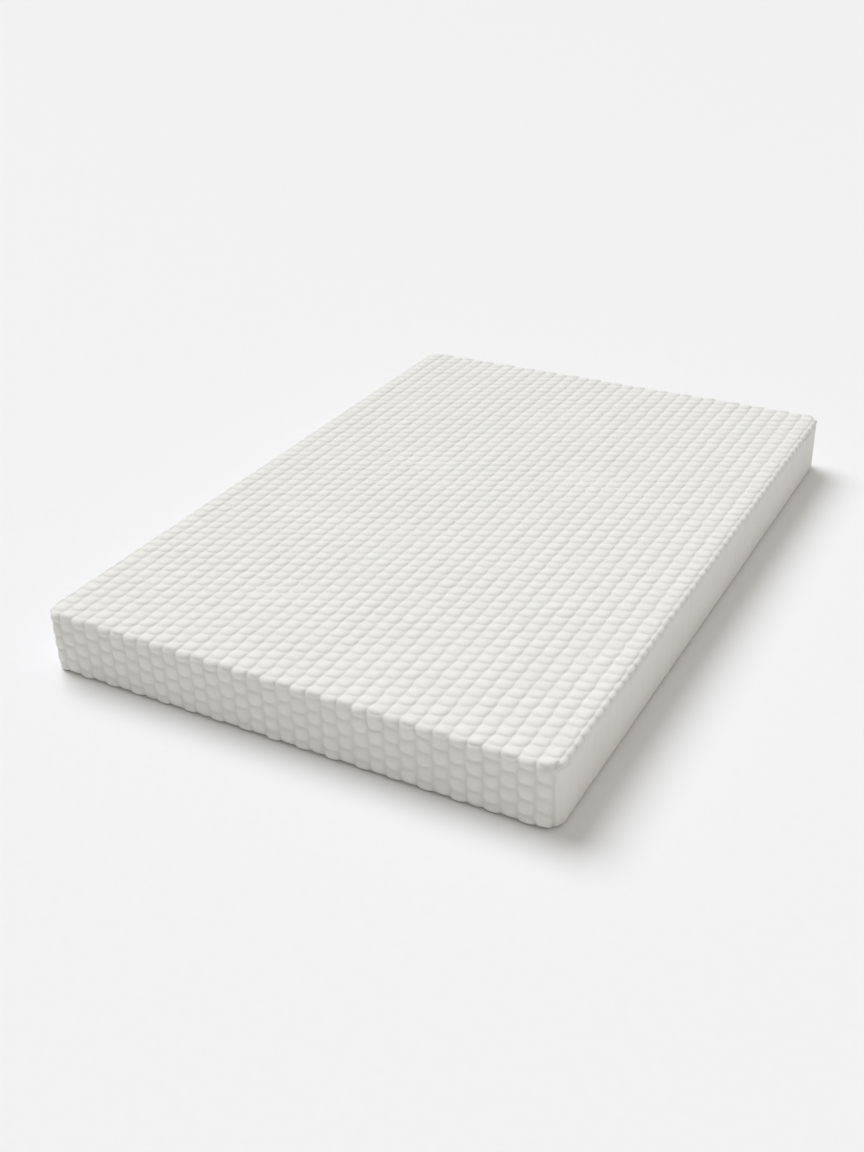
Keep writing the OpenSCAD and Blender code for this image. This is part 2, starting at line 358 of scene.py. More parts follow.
def bonded_backing(name):
    """Bonded cloth with rows of small pressed dots."""
    f = Finish(name)
    uv = f.where(uv=True)
    dots = f.maths("MULTIPLY", f.wave(uv, 80.0, "X"), f.wave(uv, 80.0, "Y"))
    fibres = f.noise(uv, 500.0, 3.0, 0.6)
    colour = f.blend(0.5, f.ramp(dots, 0.45, 0.9, tuple(colours().backing), shade(colours().backing, 0.86)),
                     f.ramp(fibres, 0.35, 0.65, (0.9, 0.9, 0.9), (1, 1, 1)), "MULTIPLY")
    normal = f.bump(f.maths("SUBTRACT", fibres, dots), 0.0003, 0.6)
    return f.finish(colour, normal, rough=0.85)


def woven(name, colour, threads=260.0, depth=0.00025, rough=0.8):
    """Plain woven cloth: two crossing sets of threads with uneven colour."""
    f = Finish(name)
    uv = f.where(uv=True)
    warp = f.wave(uv, threads, "X", 0.4)
    weft = f.wave(uv, threads, "Y", 0.4)
    weave = f.maths("ABSOLUTE", f.maths("SUBTRACT", warp, weft), 0)
    slub = f.noise(uv, threads * 1.3, 2.0)
    tint = f.ramp(weave, 0.1, 0.9, shade(colour, 0.84), colour)
    tint = f.blend(0.4, tint, f.ramp(slub, 0.3, 0.7, (0.88, 0.88, 0.88), (1, 1, 1)), "MULTIPLY")
    return f.finish(tint, f.bump(weave, depth, 0.7), rough=rough, sheen=0.05)


def zip_tape_cloth(name):
    return woven(name, tuple(colours().tape), 420.0, 0.0002)


def seam_tape_cloth(name):
    return woven(name, shade(colours().tape, 0.96), 360.0, 0.00025)


def label_cloth(name):
    return woven(name, (0.9, 0.9, 0.89), 520.0, 0.0001, 0.5)


def base_cloth(name):
    """Firm woven base with small raised grip dots."""
    f = Finish(name)
    uv = f.where(uv=True)
    warp = f.wave(uv, 190.0, "X", 0.4)
    weft = f.wave(uv, 190.0, "Y", 0.4)
    weave = f.maths("ABSOLUTE", f.maths("SUBTRACT", warp, weft), 0)
    grid = f.add("ShaderNodeTexVoronoi", feature="F1", Scale=70.0, Randomness=0.0)
    f.join(uv, grid.inputs["Vector"])
    dot = f.maths("LESS_THAN", grid.outputs["Distance"], 0.17)
    cloth = f.ramp(weave, 0.1, 0.9, shade(colours().base, 0.82), tuple(colours().base))
    cloth = f.blend(dot, cloth, shade(colours().base, 0.7))
    normal = f.bump(dot, 0.0004, 0.8, f.bump(weave, 0.0003, 0.7))
    return f.finish(cloth, normal, rough=0.82)


def nylon_coil(name):
    f = Finish(name)
    place = f.where()
    streak = f.noise(place, 800.0, 2.0)
    colour = f.ramp(streak, 0.3, 0.7, shade(colours().coil, 0.9), tuple(colours().coil))
    f.shader.inputs["Specular IOR Level"].default_value = 0.55
    return f.finish(colour, f.bump(streak, 0.00003, 0.3), rough=0.32)


def zip_metal(name):
    """Cast zinc with a brushed plating that is duller where hands rub it."""
    f = Finish(name)
    place = f.where()
    stretched = f.add("ShaderNodeMapping")
    stretched.inputs["Scale"].default_value = (200, 3000, 3000)
    f.join(place, stretched.inputs["Vector"])
    brush = f.noise(stretched.outputs["Vector"], 1.0, 3.0)
    blotch = f.noise(place, 420.0, 3.0)
    colour = f.ramp(blotch, 0.3, 0.7, shade(colours().metal, 0.85), tuple(colours().metal))
    rough = f.add("ShaderNodeMapRange")
    f.join(blotch, rough.inputs["Value"])
    rough.inputs["To Min"].default_value = 0.24
    rough.inputs["To Max"].default_value = 0.42
    return f.finish(colour, f.bump(brush, 0.00002, 0.4), metal=1.0, rough_map=rough.outputs["Result"])


def open_cell(name, colour, cell=450.0, pore=0.0008):
    """Cut foam: open pores of two sizes and a slightly uneven tint."""
    f = Finish(name)
    place = f.where()
    pores = f.cells(place, cell)
    large_pores = f.cells(place, cell * 0.28)
    tint = f.noise(place, 4.0, 3.0)
    foam = f.ramp(pores, 0.05, 0.55, shade(colour, 0.74), colour)
    foam = f.blend(0.5, foam, f.ramp(tint, 0.3, 0.7, (0.92, 0.92, 0.92), (1, 1, 1)), "MULTIPLY")
    normal = f.bump(pores, pore, 0.6, f.bump(large_pores, pore * 0.8, 0.35))
    return f.finish(foam, normal, rough=0.93, sheen=0.05)


def firm_foam(name):
    return open_cell(name, tuple(colours().support), 320.0, 0.0009)


def middle_foam(name):
    return open_cell(name, tuple(colours().transition), 380.0, 0.0008)


def slow_foam(name):
    return open_cell(name, tuple(colours().memory), 620.0, 0.0004)


# ---------------------------------------------------------------- mesh helpers


def make_mesh(name, points, faces, uv=None, attribute=None):
    """A new object from an array of points and a list of face index arrays."""
    mesh = bpy.data.meshes.new(name)
    counts = np.concatenate([np.full(len(f), f.shape[1]) if isinstance(f, np.ndarray)
                             else np.array([len(x) for x in f]) for f in faces])
    flat = np.concatenate([f.ravel() if isinstance(f, np.ndarray)
                           else np.concatenate([np.asarray(x) for x in f]) for f in faces])
    mesh.vertices.add(len(points))
    mesh.vertices.foreach_set("co", np.asarray(points, np.float32).ravel())
    mesh.loops.add(len(flat))
    mesh.loops.foreach_set("vertex_index", flat.astype(np.int32))
    mesh.polygons.add(len(counts))
    starts = np.concatenate([[0], np.cumsum(counts)[:-1]])
    mesh.polygons.foreach_set("loop_start", starts.astype(np.int32))
    mesh.polygons.foreach_set("use_smooth", np.full(len(counts), True))
    if uv is not None:
        layer = mesh.uv_layers.new(name="cloth")
        layer.data.foreach_set("uv", np.asarray(uv, np.float32)[flat].ravel())
    if attribute is not None:
        values = mesh.attributes.new(attribute[0], "FLOAT", "POINT")
        values.data.foreach_set("value", np.asarray(attribute[1], np.float32))
    mesh.update(calc_edges=True)
    mesh.validate()
    obj = bpy.data.objects.new(name, mesh)
    bpy.context.scene.collection.objects.link(obj)
    return obj


def grid_quads(shape, flipped=False):
    """The faces between the points of a grid, turned to the other side if flipped."""
    index = np.arange(shape[0] * shape[1]).reshape(shape)
    quads = np.stack([index[:-1, :-1], index[1:, :-1], index[1:, 1:], index[:-1, 1:]], -1)
    quads = quads.reshape(-1, 4)
    return quads[:, ::-1] if flipped else quads


def belongs(obj, material, body, slot, *nodes):
    """Gives a finished piece its material and body and hides the CAD parts it stands for; its record slot
    is not used.
    """
    obj.data.materials.clear()
    obj.data.materials.append(material)
    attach(obj, body)
    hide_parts(*nodes)
    return obj


def pick_only(obj):
    bpy.ops.object.select_all(action="DESELECT")
    obj.select_set(True)
    bpy.context.view_layer.objects.active = obj


def apply_modifier(obj, kind, **settings):
    pick_only(obj)
    modifier = obj.modifiers.new(kind.title(), kind)
    for key, value in settings.items():
        setattr(modifier, key, value)
    bpy.ops.object.modifier_apply(modifier=modifier.name)
    return obj


NOISE_WAVES = 10


def smooth_noise(x, y, wavelength, seed):
    """Seeded waviness about 0, mostly between -1 and 1."""
    rng = np.random.RandomState(seed)
    total = np.zeros(np.broadcast(x, y).shape)
    for _ in range(NOISE_WAVES):
        angle = rng.uniform(0, 2 * math.pi)
        k = 2 * math.pi / (wavelength * rng.uniform(0.75, 1.4))
        shift = rng.uniform(0, 2 * math.pi)
        total = total + np.sin(k * (x * math.cos(angle) + y * math.sin(angle)) + shift)
    return total / math.sqrt(NOISE_WAVES)


def smoothstep(t):
    t = np.clip(t, 0, 1)
    return t * t * (3 - 2 * t)


# ---------------------------------------------------------------- the main panel's cloth


CORNER_PATTERN_FADE = 0.02    # how far down a corner the pattern takes to run level with the walls


class Blank:
    """The flat cloth of the main panel: where each of its points lies once it is sewn in place.
    a runs across the mattress and b along it, both from the middle of the top."""

    def __init__(self):
        s = cover_sizes()
        self.r, self.er, self.lip_r, self.turn = s.corner_radius, s.edge_radius, s.lip_radius, s.lip_turn
        self.ac, self.bc = HALF_W - self.r, HALF_L - self.r
        self.flat = self.r - self.er
        self.e = self.flat + self.er * math.pi / 2
        self.seam_z = HEIGHT - self.er
        self.wall = self.seam_z - (FOOT_LIP_Z + self.lip_r * math.sin(self.turn))
        self.a_end = self.ac + self.e
        self.b_seam = self.bc + self.e
        self.foot_end = self.b_seam + self.wall + self.lip_r * self.turn
        self.head_end = self.b_seam + self.seam_z - PANEL_Z
        self.roll = self.b_seam - self.er * math.pi / 4

    def parts(self, a, b):
        """Corner centre, outward direction, distance over the top, distance down the wall."""
        xa, yb = np.abs(a), np.abs(b)
        x = np.maximum(xa - self.ac, 0)
        y = np.clip(yb - self.bc, 0, self.e)
        down = np.maximum(yb - self.b_seam, 0)
        reach = np.maximum(x, y)
        size = np.hypot(x, y)
        safe = np.where(size > 1e-12, size, 1)
        ux = np.where(size > 1e-12, x / safe, 0.0) * np.sign(a)
        uy = np.where(size > 1e-12, y / safe, 0.0) * np.sign(b)
        px = np.clip(a, -self.ac, self.ac)
        py = np.clip(b, -self.bc, self.bc)
        return px, py, ux, uy, reach, down

    def pattern(self, a, b):
        """The point of the cloth itself that lies at a, b of the grid."""
        px, py, ux, uy, reach, down = self.parts(a, b)
        turn = np.arctan2(np.abs(ux), np.abs(uy))
        on_wall = np.sign(a) * (self.ac + self.r * turn)
        share = smoothstep(down / CORNER_PATTERN_FADE)
        corner = (np.abs(a) > self.ac) & (down > 0)
        A = px + ux * reach
        A = np.where(corner, A * (1 - share) + on_wall * share, A)
        B = py + uy * reach + np.sign(b) * down
        return A, B

    def place(self, a, b, h):
        """Points in space, h outside the plain face."""
        px, py, ux, uy, reach, down = self.parts(a, b)
        phi = np.clip((reach - self.flat) / self.er, 0, math.pi / 2)
        out = np.minimum(reach, self.flat) + self.er * np.sin(phi)
        z = HEIGHT - self.er * (1 - np.cos(phi))
        nh, nz = np.sin(phi), np.cos(phi)
        wall = down > 0
        arc = np.clip((down - self.wall) / self.lip_r, 0, self.turn)
        foot = b < 0
        arc = np.where(foot, arc, 0)
        straight = np.where(foot, np.minimum(down, self.wall), down)
        out = np.where(wall, self.r - self.lip_r * (1 - np.cos(arc)), out)
        z = np.where(wall, self.seam_z - straight - self.lip_r * np.sin(arc), z)
        nh = np.where(wall, np.cos(arc), nh)
        nz = np.where(wall, -np.sin(arc), nz)
        return np.stack([px + ux * (out + h * nh), py + uy * (out + h * nh), z + h * nz], -1)


# Where the grid lines lie in one tile, or in half a row: closer together beside a groove.
FINE = (0, .04, .13, .3, .5, .7, .87, .96)
FINER = (0, .04, .13, .215, .3, .4, .5, .6, .7, .785, .87, .96)
HALF_ROW = (0, .04, .13, .25, .37, .46)
HALF_ROW_FINER = (0, .04, .13, .19, .25, .31, .37, .46)
STRIP = (0, .08, .2, .35, .5, .65, .8, .9, .96, 1)
NARROWEST_STRIP = 0.01    # least width of the cut column beside each top seam
FINER_BEFORE_ROLL = 0.03    # how far over the top the finer rows begin before the rolled end
END_GAP = 0.0006    # least distance of a line from the ends of the cloth


def row_number(B, blank):
    q = quilt_sizes()
    pitch = 2 * blank.roll / q.rows_on_top
    return np.where(B < -blank.roll, (B + blank.roll) / q.wall_row_pitch,
                    np.where(B > blank.roll, q.rows_on_top + (B - blank.roll) / q.wall_row_pitch,
                             (B + blank.roll) / pitch))


def row_place(r, blank):
    q = quilt_sizes()
    pitch = 2 * blank.roll / q.rows_on_top
    return np.where(r < 0, -blank.roll + r * q.wall_row_pitch,
                    np.where(r > q.rows_on_top, blank.roll + (r - q.rows_on_top) * q.wall_row_pitch,
                             -blank.roll + r * pitch))


def column_lines(blank):
    pitch = quilt_sizes().column_pitch
    last = int((blank.a_end - NARROWEST_STRIP) / pitch)
    lines = []
    for c in range(last):
        lines += [(c + t) * pitch for t in (FINER if c == last - 1 else FINE)]
    lines += [last * pitch + t * (blank.a_end - last * pitch) for t in STRIP]
    return np.array([-x for x in reversed(lines[1:])] + lines)


def row_lines(blank):
    first = math.floor(2 * float(row_number(-blank.foot_end, blank)))
    final = math.ceil(2 * float(row_number(blank.head_end, blank)))
    rows = []
    for k in range(first, final):
        b = abs(float(row_place(k / 2, blank)))
        rolled = blank.bc - FINER_BEFORE_ROLL < b < blank.b_seam
        rows += [k / 2 + t for t in (HALF_ROW_FINER if rolled else HALF_ROW)]
    b = row_place(np.array(rows), blank)
    b = b[(b > -blank.foot_end + END_GAP) & (b < blank.head_end - END_GAP)]
    return np.concatenate([[-blank.foot_end], b, [blank.head_end]])


# The swatch that is puffed up as cloth: its grid lines in one tile and in half a row, and its size.
ACROSS = (0, .02, .04, .085, .13, .215, .3, .4, .5, .6, .7, .785, .87, .915, .96, .98)
ALONG = (0, .02, .04, .085, .13, .19, .25, .31, .37, .415, .46, .48)
SWATCH = 5    # tiles along each side
SWATCH_SCALE = 10    # times the real size
SWATCH_TILE_LENGTH = 0.92    # as a share of the tile's width
SWATCH_START = 0.5    # highest uneven start of the cloth, as a share of the relief
SWATCH_SEED = 5
CLOTH_FRAMES = 24
CROWN_PERCENT = 96    # share of a tile's points that lie below what is taken as its crown


@functools.cache
def puffed_tiles():
    """Puffs up a small sewn swatch as cloth, ten times the real size, and returns how high each of
    its tiles stands at every line, as a share of its crown."""
    q = quilt_sizes()
    columns = [c + t for c in range(SWATCH) for t in ACROSS] + [SWATCH]
    rows = [k / 2 + t for k in range(2 * SWATCH + 1) for t in ALONG] + [SWATCH + 0.5]
    u, v = np.meshgrid(np.array(columns), np.array(rows), indexing="ij")
    column = np.minimum(np.floor(u), SWATCH - 1)
    r = v + 0.5 * (column % 2)
    on_column, on_row = u == np.round(u), np.abs(r - np.round(r)) < 1e-6
    sewn = on_column | on_row | (v == v[0, 0]) | (v == v[0, -1])
    z = SWATCH_START * q.relief * np.random.RandomState(SWATCH_SEED).uniform(0, 1, u.shape) * ~sewn
    pitch = SWATCH_SCALE * q.column_pitch
    n, m = u.shape
    points = np.stack([u * pitch, v * pitch * SWATCH_TILE_LENGTH, z], -1).reshape(-1, 3)
    obj = make_mesh("quilted_swatch", points, [grid_quads(u.shape)])
    obj.vertex_groups.new(name="sewn").add(np.nonzero(sewn.ravel())[0].tolist(), 1.0, "REPLACE")
    pick_only(obj)
    cloth = obj.modifiers.new("Cloth", "CLOTH")
    for key, value in {"quality": 6, "mass": 0.3, "vertex_group_mass": "sewn", "tension_stiffness": 15,
                       "compression_stiffness": 15, "shear_stiffness": 5, "bending_stiffness": q.cloth_bend,
                       "shrink_min": -q.cloth_slack, "use_pressure": True,
                       "uniform_pressure_force": q.cloth_pressure}.items():
        setattr(cloth.settings, key, value)
    cloth.settings.effector_weights.gravity = 0
    cloth.collision_settings.use_collision = False
    cloth.point_cache.frame_start, cloth.point_cache.frame_end = 1, CLOTH_FRAMES
    for number in range(1, CLOTH_FRAMES + 1):
        bpy.context.scene.frame_set(number)
    bpy.ops.object.modifier_apply(modifier=cloth.name)
    heights = np.empty(3 * n * m)
    obj.data.vertices.foreach_get("co", heights)
    heights = heights.reshape(n, m, 3)[..., 2]
    mesh = obj.data
    bpy.data.objects.remove(obj)
    bpy.data.meshes.remove(mesh)
    bpy.context.scene.frame_set(1)
    wide, half = len(ACROSS), len(ALONG)
    tiles = []
    for c in range(SWATCH):
        for k in range(SWATCH):
            start = half * (2 * k + c % 2)
            tile = heights[c * wide:(c + 1) * wide + 1, start:start + 2 * half + 1]
            tiles.append(np.maximum(tile, 0) / np.percentile(tile, CROWN_PERCENT))
    return np.array(tiles)


def puffed_height(p, s, which):
    """Height of the tiles at p across and s along, both from -1 to 1, read between the lines."""
    q = quilt_sizes()
    tiles = puffed_tiles()
    across = 2 * np.array(ACROSS + (1,)) - 1
    along = 2 * np.array(ALONG + tuple(0.5 + t for t in ALONG) + (1,)) - 1
    i = np.clip(np.searchsorted(across, p, "right") - 1, 0, len(across) - 2)
    j = np.clip(np.searchsorted(along, s, "right") - 1, 0, len(along) - 2)
    f, g = (p - across[i]) / (across[i + 1] - across[i]), (s - along[j]) / (along[j + 1] - along[j])
    tiles = tiles ** q.fullness
    return ((1 - f) * (1 - g) * tiles[which, i, j] + f * (1 - g) * tiles[which, i + 1, j]
            + (1 - f) * g * tiles[which, i, j + 1] + f * g * tiles[which, i + 1, j + 1])


TILE_TABLE = (64, 96)    # columns and rows of tiles that get their own height, lean and shape
TILE_START = (30, 20)    # place in the table of the tile at the middle of the foot roll
TILE_SEED = 11
RIDGE_POWER = 2.7    # roundness of a column from groove to groove
LEAN_SHARE = 0.8    # lean of a tile as a share of the unevenness
CORNER_SHAPE, CORNER_POWER = 3, 6    # roundness of a tile's outline, and how late it sets in


def tile_relief(A, B, blank):
    """Height of the tiles from 0 in the grooves to about 1 on their crowns."""
    q = quilt_sizes()
    rng = np.random.RandomState(TILE_SEED)
    heights = 1 + q.unevenness * rng.uniform(-1, 1, TILE_TABLE)
    lean = q.unevenness * rng.uniform(-1, 1, TILE_TABLE + (2,))
    pick = rng.randint(0, SWATCH * SWATCH, TILE_TABLE)
    column = np.floor(A / q.column_pitch).astype(int)
    p = 2 * (A / q.column_pitch - column) - 1
    r = row_number(B, blank) + 0.5 * (column % 2)
    row = np.floor(r).astype(int)
    s = 2 * (r - row) - 1
    i, j = (column + TILE_START[0]) % TILE_TABLE[0], (row + TILE_START[1]) % TILE_TABLE[1]
    ridge = np.sqrt(1 - np.minimum(np.abs(p), 1) ** RIDGE_POWER)
    swell = heights[i, j] + lean[i, j, 0] * p * LEAN_SHARE + (lean[i, j, 1] * LEAN_SHARE - q.droop) * s
    corner = (np.abs(p) ** CORNER_SHAPE + np.abs(s) ** CORNER_SHAPE) ** (1 / CORNER_SHAPE)
    puffed = puffed_height(p, s, pick[i, j]) * np.sqrt(1 - np.minimum(corner, 1) ** CORNER_POWER)
    return swell * (q.row_share * puffed + (1 - q.row_share) * ridge)


def edge_fade(a, b, blank, width):
    left = np.minimum(blank.a_end - np.abs(a), np.minimum(b + blank.foot_end, blank.head_end - b))
    return smoothstep(left / width)


def shell_faces(na, nb, base_a, base_b):
    """Faces of a closed panel: its fine outer grid, a coarse inner side and the rim between them.
    Returns the faces and the grid points that the inner side uses."""
    index = np.arange(na * nb).reshape(na, nb)
    outer = grid_quads((na, nb))
    loop = [(i, 0) for i in range(na - 1)] + [(na - 1, j) for j in range(nb - 1)]
    loop += [(i, nb - 1) for i in range(na - 1, 0, -1)] + [(0, j) for j in range(nb - 1, 0, -1)]
    used = {}

    def inner(i, j):
        return used.setdefault((i, j), na * nb + len(used))

    rim = []
    for (i0, j0), (i1, j1) in zip(loop, loop[1:] + loop[:1]):
        rim.append((index[i1, j1], index[i0, j0], inner(i0, j0), inner(i1, j1)))
    back = []
    for i0, i1 in zip(base_a, base_a[1:]):
        for j0, j1 in zip(base_b, base_b[1:]):
            low_side = [(i, j0) for i in (range(i0, i1) if j0 == 0 else (i0,))]
            right_side = [(i1, j) for j in (range(j0, j1) if i1 == na - 1 else (j0,))]
            top_side = [(i, j1) for i in (range(i1, i0, -1) if j1 == nb - 1 else (i1,))]
            left_side = [(i0, j) for j in (range(j1, j0, -1) if i0 == 0 else (j1,))]
            ring = low_side + right_side + top_side + left_side
            back.append([inner(i, j) for i, j in reversed(ring)])
    return [outer, np.array(rim), back], list(used)


PLAIN_SHADE_SHARE = 0.3    # share of painted groove shade on cloth without tiles, from 0 for a crown to 1 for a groove
SEAM_WIDTH = 0.004    # width over which the cloth is drawn in at a seam or an end


def coarse(lines, keep, step):
    """Indices of the first and last line, the lines that are kept, and every step-th one between."""
    picked = [k for k in range(len(lines)) if keep(lines[k]) or k % step == 0]
    return sorted(set(picked) | {0, len(lines) - 1})


def panel_shell(name, blank, a_lines, b_lines, outer_h, inner_h, keep_a, keep_b, step,
                moved=None, depth=None):
    """A closed panel on the blank: outer_h and inner_h give how far its two sides lie outside the
    plain face, keep_a and keep_b the lines its coarse inner side needs, moved the shift of its outer
    points along the cloth, and depth the value that paints groove shade into their colour."""
    a, b = np.meshgrid(a_lines, b_lines, indexing="ij")
    na, nb = a.shape
    A, B = blank.pattern(a, b)
    ga, gb = (a, b) if moved is None else moved(a, b, A, B)
    faces, used = shell_faces(na, nb, coarse(a_lines, keep_a, step), coarse(b_lines, keep_b, step))
    points = blank.place(ga, gb, outer_h(a, b, A, B)).reshape(-1, 3)
    ui, uj = np.array(used).T
    inner = blank.place(a[ui, uj], b[ui, uj], inner_h(a[ui, uj], b[ui, uj]))
    uv = np.concatenate([np.stack([A, B], -1).reshape(-1, 2), np.stack([A[ui, uj], B[ui, uj]], -1)])
    attribute = None
    if depth is not None:
        values = np.concatenate([depth(a, b, A, B).ravel(), np.full(len(used), PLAIN_SHADE_SHARE)])
        attribute = ("depth", values)
    return make_mesh(name, np.concatenate([points, inner]), faces, uv, attribute=attribute)


class MATTRESS_OT_main_panel(bpy.types.Operator):
    """Sews the main panel: one quilted cloth over the top and down both ends"""

    bl_idname = "mattress.main_panel"
    bl_label = "Main Panel"

    def execute(self, context):
        q, s = quilt_sizes(), cover_sizes()
        blank = Blank()
        a_lines, b_lines = column_lines(blank), row_lines(blank)

        def tuck(a, b):
            side = blank.a_end - np.abs(a)
            end = np.minimum(b + blank.foot_end, blank.head_end - b)
            at_seam, at_end = 0.0014, 0.0010
            return (at_seam * (1 - smoothstep(side / SEAM_WIDTH))
                    + at_end * (1 - smoothstep(end / SEAM_WIDTH)))

        def face(a, b, A, B):
            relief = q.relief * tile_relief(A, B, blank) - q.sunk
            seam = smoothstep((blank.a_end - np.abs(a)) / SEAM_WIDTH)
            wander = 0.0009 * smooth_noise(A, B, 0.42, 5) * edge_fade(a, b, blank, 0.12)
            return relief * seam + wander - tuck(a, b) * (1 - 0.4 * seam)

        # painted shade: the deeper a point lies in a groove, the darker its cloth is tinted
        def depth(a, b, A, B):
            return 1 - np.clip(tile_relief(A, B, blank), 0, 1)

        def moved(a, b, A, B):
            fade = edge_fade(a, b, blank, 0.03)
            column = np.round(A / q.column_pitch).astype(int)
            near = 1 - np.abs(2 * (A / q.column_pitch - column))
            r = row_number(B, blank)
            sway = q.sway * np.where(column % 2 == 0, 1, -1) * near * np.cos(2 * math.pi * r)
            p = 2 * (A / q.column_pitch - np.floor(A / q.column_pitch)) - 1
            da = sway + q.drift * smooth_noise(A, B, 0.075, 21)
            db = q.drift * smooth_noise(A, B, 0.06, 22) - q.bow * (0.6 - p * p)
            return a + da * fade, b + db * fade

        obj = panel_shell(
            "main_panel_cloth", blank, a_lines, b_lines, face,
            lambda a, b: np.full(a.shape, -s.face_thickness),
            lambda a: abs(a) > blank.ac - 0.002,
            lambda b: blank.bc - 0.002 < abs(b) < blank.b_seam + 0.004 or b < -blank.b_seam - blank.wall,
            24, moved, depth)
        belongs(obj, made("knit_cover", knit_cover), "cover", "cover_knit", "main_face")
        return {"FINISHED"}


class MATTRESS_OT_side_panels(bpy.types.Operator):
    """Sews the two plain side panels, with faint upright ribs and a lip that turns under"""

    bl_idname = "mattress.side_panels"
    bl_label = "Side Panels"

    def execute(self, context):
        q, s = quilt_sizes(), cover_sizes()
        blank = Blank()
        reach = blank.bc + blank.r * math.pi / 4
        ribs = math.ceil(reach / q.column_pitch)
        half = np.array([(k + t) * q.column_pitch for k in range(ribs) for t in FINE])
        half = half[half < reach - 0.0075]
        half = np.concatenate([half, reach - np.array([0.006, 0.004, 0.0025, 0.0012, 0])])
        along = np.concatenate([-half[:0:-1], half])
        fall = blank.wall + blank.lip_r * blank.turn
        down = np.concatenate([[0, 0.0012, 0.0025, 0.004, 0.007],
                               np.linspace(0.0115, blank.wall - 0.001, 28),
                               np.linspace(blank.wall + 0.0008, fall, 8)])
        for side, name in ((1, "right"), (-1, "left")):
            u, v = np.meshgrid(along, down, indexing="ij")
            turn = np.maximum(np.abs(u) - blank.bc, 0) / blank.r
            arc = np.clip((v - blank.wall) / blank.lip_r, 0, blank.turn)
            groove = np.abs(2 * (u / q.column_pitch - np.floor(u / q.column_pitch)) - 1)
            h = -q.rib_depth * groove ** 5 + 0.0007 * smooth_noise(u, v, 0.3, 31 + side) + 0.0004
            h = h + 0.00045 * smooth_noise(u, v * 0.25, 0.022, 33 + side)
            edge = np.minimum(reach - np.abs(u), v)
            h = h * smoothstep((fall - v) / 0.01) - 0.0022 * (1 - smoothstep(edge / 0.0045))
            out = blank.r - blank.lip_r * (1 - np.cos(arc)) + h * np.cos(arc)
            z = blank.seam_z - np.minimum(v, blank.wall) - blank.lip_r * np.sin(arc) - h * np.sin(arc)
            x = side * (blank.ac + out * np.cos(turn))
            y = np.clip(u, -blank.bc, blank.bc) + np.sign(u) * out * np.sin(turn)
            # painted shade: the plain cloth gets a share of the groove shade, and more down in its rib
            # grooves
            obj = make_mesh("side_panel_cloth_" + name, np.stack([x, y, z], -1).reshape(-1, 3),
                            [grid_quads(u.shape, flipped=side > 0)], np.stack([u, v], -1).reshape(-1, 2),
                            attribute=("depth", (PLAIN_SHADE_SHARE + 0.12 * groove ** 6).ravel()))
            apply_modifier(obj, "SOLIDIFY", thickness=s.face_thickness - 0.0006, offset=-1.0)
            belongs(obj, made("knit_cover", knit_cover), "cover", "cover_knit", "side_face_" + name)
        return {"FINISHED"}


# ---------------------------------------------------------------- bands swept round the mattress

TAPE_THICKNESS = 0.0006    # of the zip tapes and the seam tapes
CORNER_TAPE_HALF_WIDTH = 0.006
MERGE_DISTANCE = 0.000002    # points nearer than this are one point


def outline(stations, inset, side, blank):
    """Points and outward directions on one side of the mattress, at distances from its middle."""
    half = blank.bc if side % 2 == 0 else blank.ac
    centre = blank.ac if side % 2 == 0 else blank.bc
    turn = np.maximum(np.abs(stations) - half, 0) / blank.r
    ux, uy = np.cos(turn), np.sign(stations) * np.sin(turn)
    x = centre + (blank.r - inset) * ux
    y = np.clip(stations, -half, half) + (blank.r - inset) * uy
    c, s = ((1, 0), (0, 1), (-1, 0), (0, -1))[side]
    return np.stack([c * x - s * y, s * x + c * y], -1), np.stack([c * ux - s * uy, s * ux + c * uy], -1)


def side_stations(side, blank, step=0.05, arc=6):
    half = blank.bc if side % 2 == 0 else blank.ac
    straight = np.linspace(-half, half, max(2, int(2 * half / step)))
    bend = np.linspace(0, blank.r * math.pi / 4, arc + 1)[1:]
    return np.concatenate([-half - bend[::-1], straight, half + bend])


def sweep(name, section, sides, blank, step=0.05, round_all=False):
    """Sweeps a closed section of (inset, z) points along the sides, and caps open ends."""
    section = np.array(section, float)
    rings, lengths, total = [], [], 0.0
    for side in sides:
        stations = side_stations(side, blank, step)
        if round_all:
            stations = stations[:-1]
        for k, station in enumerate(stations):
            xy, _ = zip(*[outline(np.array([station]), inset, side, blank) for inset, _ in section])
            rings.append([(*p[0], z) for p, (_, z) in zip(xy, section)])
            lengths.append(total + station - stations[0])
        total += stations[-1] - stations[0]
    rings = np.array(rings)
    n, m = rings.shape[:2]
    index = np.arange(n * m).reshape(n, m)
    ring_next = np.roll(index, -1, 1)
    pairs = [(k, (k + 1) % n) for k in range(n if round_all else n - 1)]
    faces = [np.concatenate([np.stack([index[p], index[q], ring_next[q], ring_next[p]], -1)
                             for p, q in pairs])]
    if not round_all:
        faces.append([index[0], index[-1][::-1]])
    across = np.concatenate([[0], np.cumsum(np.hypot(*np.diff(section, axis=0).T))])
    uv = np.stack(np.broadcast_arrays(np.array(lengths)[:, None], across[None, :]), -1).reshape(-1, 2)
    return make_mesh(name, rings.reshape(-1, 3), faces, uv)


def tidy_normals(obj):
    pick_only(obj)
    bpy.ops.object.mode_set(mode="EDIT")
    bpy.ops.mesh.select_all(action="SELECT")
    bpy.ops.mesh.remove_doubles(threshold=MERGE_DISTANCE)
    bpy.ops.mesh.normals_make_consistent(inside=False)
    bpy.ops.object.mode_set(mode="OBJECT")
    return obj


def soften(obj, angle=40):
    pick_only(obj)
    bpy.ops.object.shade_smooth_by_angle(angle=math.radians(angle))
    return obj


def rounded_band(inset, thick, z0, z1, r=0.0002):
    """Section of an upright band whose edges are slightly rounded."""
    i0, i1 = inset, inset + thick
    return [(i0, z0 + r), (i0, z1 - r), (i0 + r, z1), (i1 - r, z1), (i1, z1 - r), (i1, z0 + r),
            (i1 - r, z0), (i0 + r, z0)]


